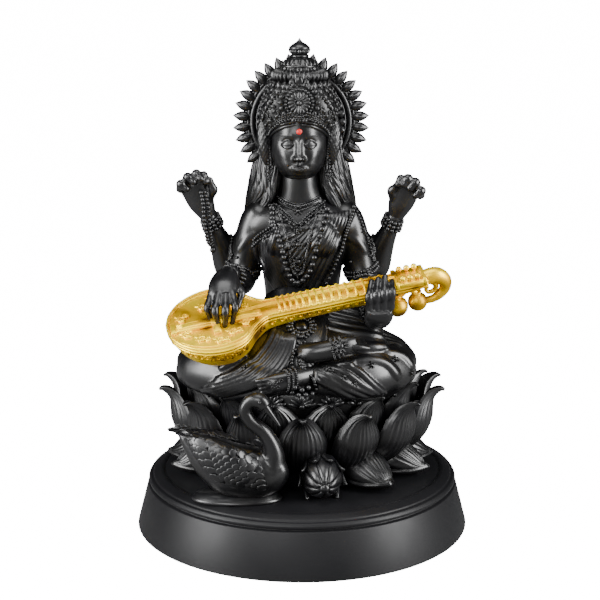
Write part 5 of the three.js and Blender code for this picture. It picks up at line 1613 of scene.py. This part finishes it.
# %% [markdown]
# ## The swan
# Her swan rests on the floor beside the lotus. Body and neck are one smooth skin, while the wings are
# laid with feathers: short scales near the shoulder, long quills towards the tail. A scale is one small
# leaf shape copied in staggered rows over the wing, each row overlapping the one behind it.

# %% Swan's body
SWAN_PLACE = np.array([-36.0, -60.5, 0])
TRUNK = [[-34, 9, 36.5, 1.6, 1.6], [-26, 7, 30.5, 7.2, 6.6], [-16, 3, 24, 13, 11], [-4, 0, 18, 15.6, 13],
         [9, -1.5, 16.4, 15.2, 13], [18.6, -3.5, 18.5, 12.6, 11], [25.4, -5, 22, 6.5, 5.5],
         [27, -5, 23, 1.5, 1.5]]
NECK = [[18.6, -4, 20, 9], [19.6, -5.4, 30, 6], [15.2, -7, 41, 4.5], [7, -8.6, 49, 4], [4.2, -9.6, 56, 3.6],
        [7.2, -10.4, 61, 3.8], [12.2, -11, 61.6, 4.6], [16.2, -12, 58, 3.6]]
BILL = [[15.6, -12, 58.6, 2.9, 2.4], [18.8, -12.8, 54.4, 2.2, 1.7], [22, -14, 50.4, 1.4, 1.0],
        [23.6, -14.6, 48, 0.6, 0.5]]


def at_swan(points):
    """Stations moved to where the swan sits."""
    p = np.asarray(points, float)
    p[:, :3] += SWAN_PLACE
    return p


def side_wing(s):
    """One folded wing as a plain form under its feathers."""
    return [[-30, 8 + 3 * s, 34.5, 3, 1.4], [-16, 2.5 + 9.5 * s, 27, 9, 3.4], [-2, 12 * s, 21.5, 10.5, 4],
            [12, -2 + 10.5 * s, 19, 5, 2.6]]


trunk = strand_form(at_swan(TRUNK), (0, 0, 1), 56, 70)
swan_parts = [trunk, strand(at_swan(NECK), 32, 90)]
swan_parts += [strand_form(at_swan(side_wing(s)), (0, 0, 1), 32, 40) for s in (1, -1)]
swan_body = fused(swan_parts, 0.76, 5)
bill = strand_form(at_swan(BILL), (0, 1, 0), 20, 24)
swan_skin = touch_tree(swan_body)
foot_rim = turned([[0.3, 0], [25.6, 0], [26, 0.8], [25.4, 1.9], [24.2, 2.2], [23.6, 3.6], [0.3, 4.4]], 96,
                  SWAN_PLACE + (-1, 0, 0), (1, 0.5))

# %% Feathers
SCALE_LONG, QUILL_LONG, FEATHER_WIDE = 6.4, 10.0, 2.5  # mm


def feather(length, wide):
    """A rounded feather lying along its own -x, its tip raised: outline half round, with a shaft."""
    full = [[0, 0, -0.5, 0.5 * wide, 0.4], [-0.4 * length, 0, 0.1, wide, 0.5],
            [-0.8 * length, 0, 0.6, 0.86 * wide, 0.5], [-length, 0, 0.8, 0.25 * wide, 0.3]]
    return shell(form(full, (0, 1, 0), blade(-0.08, 1, 0.25, 0.15))(steps(7), PETAL_SIDES[None, ::6]))


def laid_feathers(rows):
    """Feathers over one wing. A row is [start, end, count, length, wide], with start and end on the side
    of the wing; each feather lies on the skin and points at the tail, up and back."""
    out_parts = []
    for start, end, count, length, wide in rows:
        places, out = laid(swan_skin, at_swan([start, end]).tolist(), count, 0.25)
        tail = at_swan([[-38, 8, 41]])[0]
        back = unit(tail - places)
        back = unit(back - (back * out).sum(1, keepdims=True) * out)
        frames = np.stack([-back, np.cross(out, -back), out], 1)
        out_parts.append(copies(feather(length, wide), places, frames))
    return out_parts


def wing_rows(s):
    """Rows of feathers from the shoulder back: each goes from the wing's upper edge to its lower."""
    rows = []
    for i in range(7):
        x = 14 - 3.9 * i
        upper, lower = [x - 3.5, 11 * s - 1, 34 + 0.8 * i], [x + 3.5, 18 * s - 1, 9 + 1.2 * i]
        rows.append([upper, lower, 7 + (i > 1), SCALE_LONG, FEATHER_WIDE])
    for i in range(6):
        x = -12.5 - 4.0 * i
        upper, lower = [x - 1, 8 * s + 2 + i, 40 + 0.8 * i], [x + 5, 16 * s + 1 + i, 14 + 3.6 * i]
        rows.append([upper, lower, 7 - (i > 1) - (i > 3), QUILL_LONG, FEATHER_WIDE])
    return rows


feathers = laid_feathers(wing_rows(1)) + laid_feathers(wing_rows(-1))
eyes = []
for s in (1, -1):
    eye = [[12.4, -11 + 6 * s, 61.8], [12.5, -11 + 6 * s, 61.8]]
    spot, out = laid(swan_skin, at_swan(eye).tolist(), 2, 0.1)
    eyes.append(copies(SMALL_BALL, spot[:1], sizes=0.95))
piece("swan_carved", [swan_body, bill, foot_rim] + feathers + eyes, black_resin, "swan")


# %% [markdown]
# ## Floor and light
# The picture was lit for a catalogue: a white sweep, a wide soft light on each side that draws long
# highlights down the arms and petals, one above for the shoulders and the lap, and little else, because
# black resin is best shown by a few large bright shapes in a dark room. The world is white where the
# camera looks straight at it and dim for everything that it lights.

# %% Floor, world and lights
WHITE = 16.0  # how bright the sweep and the backdrop are to the camera
FLOOR_GLOW, ROOM_GLOW = 0.04, 0.015  # and to everything that they light

data = bpy.data.meshes.new("studio_floor")
data.from_pydata([(-3, -3, 0), (3, -3, 0), (3, 6, 0), (-3, 6, 0)], [], [(0, 1, 2, 3)])
floor = bpy.data.objects.new("studio_floor", data)
bpy.context.collection.objects.link(floor)
sweep, tree, shader = new_material("white_sweep")
shader.inputs["Base Color"].default_value = linear("#787878")
shader.inputs["Roughness"].default_value = 0.9
shader.inputs["Emission Color"].default_value = linear("#ffffff")
seen = add_node(tree, "ShaderNodeLightPath").outputs["Is Camera Ray"]
tree.links.new(span(tree, seen, 0.0, 1.0, FLOOR_GLOW, WHITE), shader.inputs["Emission Strength"])
data.materials.append(sweep)

world = bpy.data.worlds.new("studio")
world.use_nodes = True
bpy.context.scene.world = world
tree = world.node_tree
tree.nodes.clear()
seen = add_node(tree, "ShaderNodeLightPath").outputs["Is Camera Ray"]
strength = span(tree, seen, 0.0, 1.0, ROOM_GLOW, WHITE)
backdrop = add_node(tree, "ShaderNodeBackground", {"Color": linear("#ffffff"), "Strength": strength})
add_node(tree, "ShaderNodeOutputWorld", {"Surface": backdrop.outputs[0]})


def softbox(name, place, aim, width, height, watts):
    """A rectangular light at `place` that faces `aim`, in millimetres."""
    light = bpy.data.lights.new(name, "AREA")
    light.shape, light.size, light.size_y, light.energy = "RECTANGLE", width * MM, height * MM, watts
    made = bpy.data.objects.new(name, light)
    made.location = Vector(place) * MM
    made.rotation_euler = (Vector(aim) - Vector(place)).to_track_quat("-Z", "Y").to_euler()
    bpy.context.collection.objects.link(made)


MIDDLE = (0, 0, 150)  # mm, the place that all the lights face
SOFTBOXES = {  # name: place, width and height in mm, and watts
    "left_softbox": ((-800, -350, 380), 340, 800, 20),
    "right_softbox": ((800, -350, 380), 340, 800, 20),
    "top_softbox": ((0, -200, 950), 600, 400, 5),
    "front_softbox": ((-320, -1050, 620), 520, 520, 9),
}
for name, (place, width, height, watts) in SOFTBOXES.items():
    softbox(name, place, MIDDLE, width, height, watts)
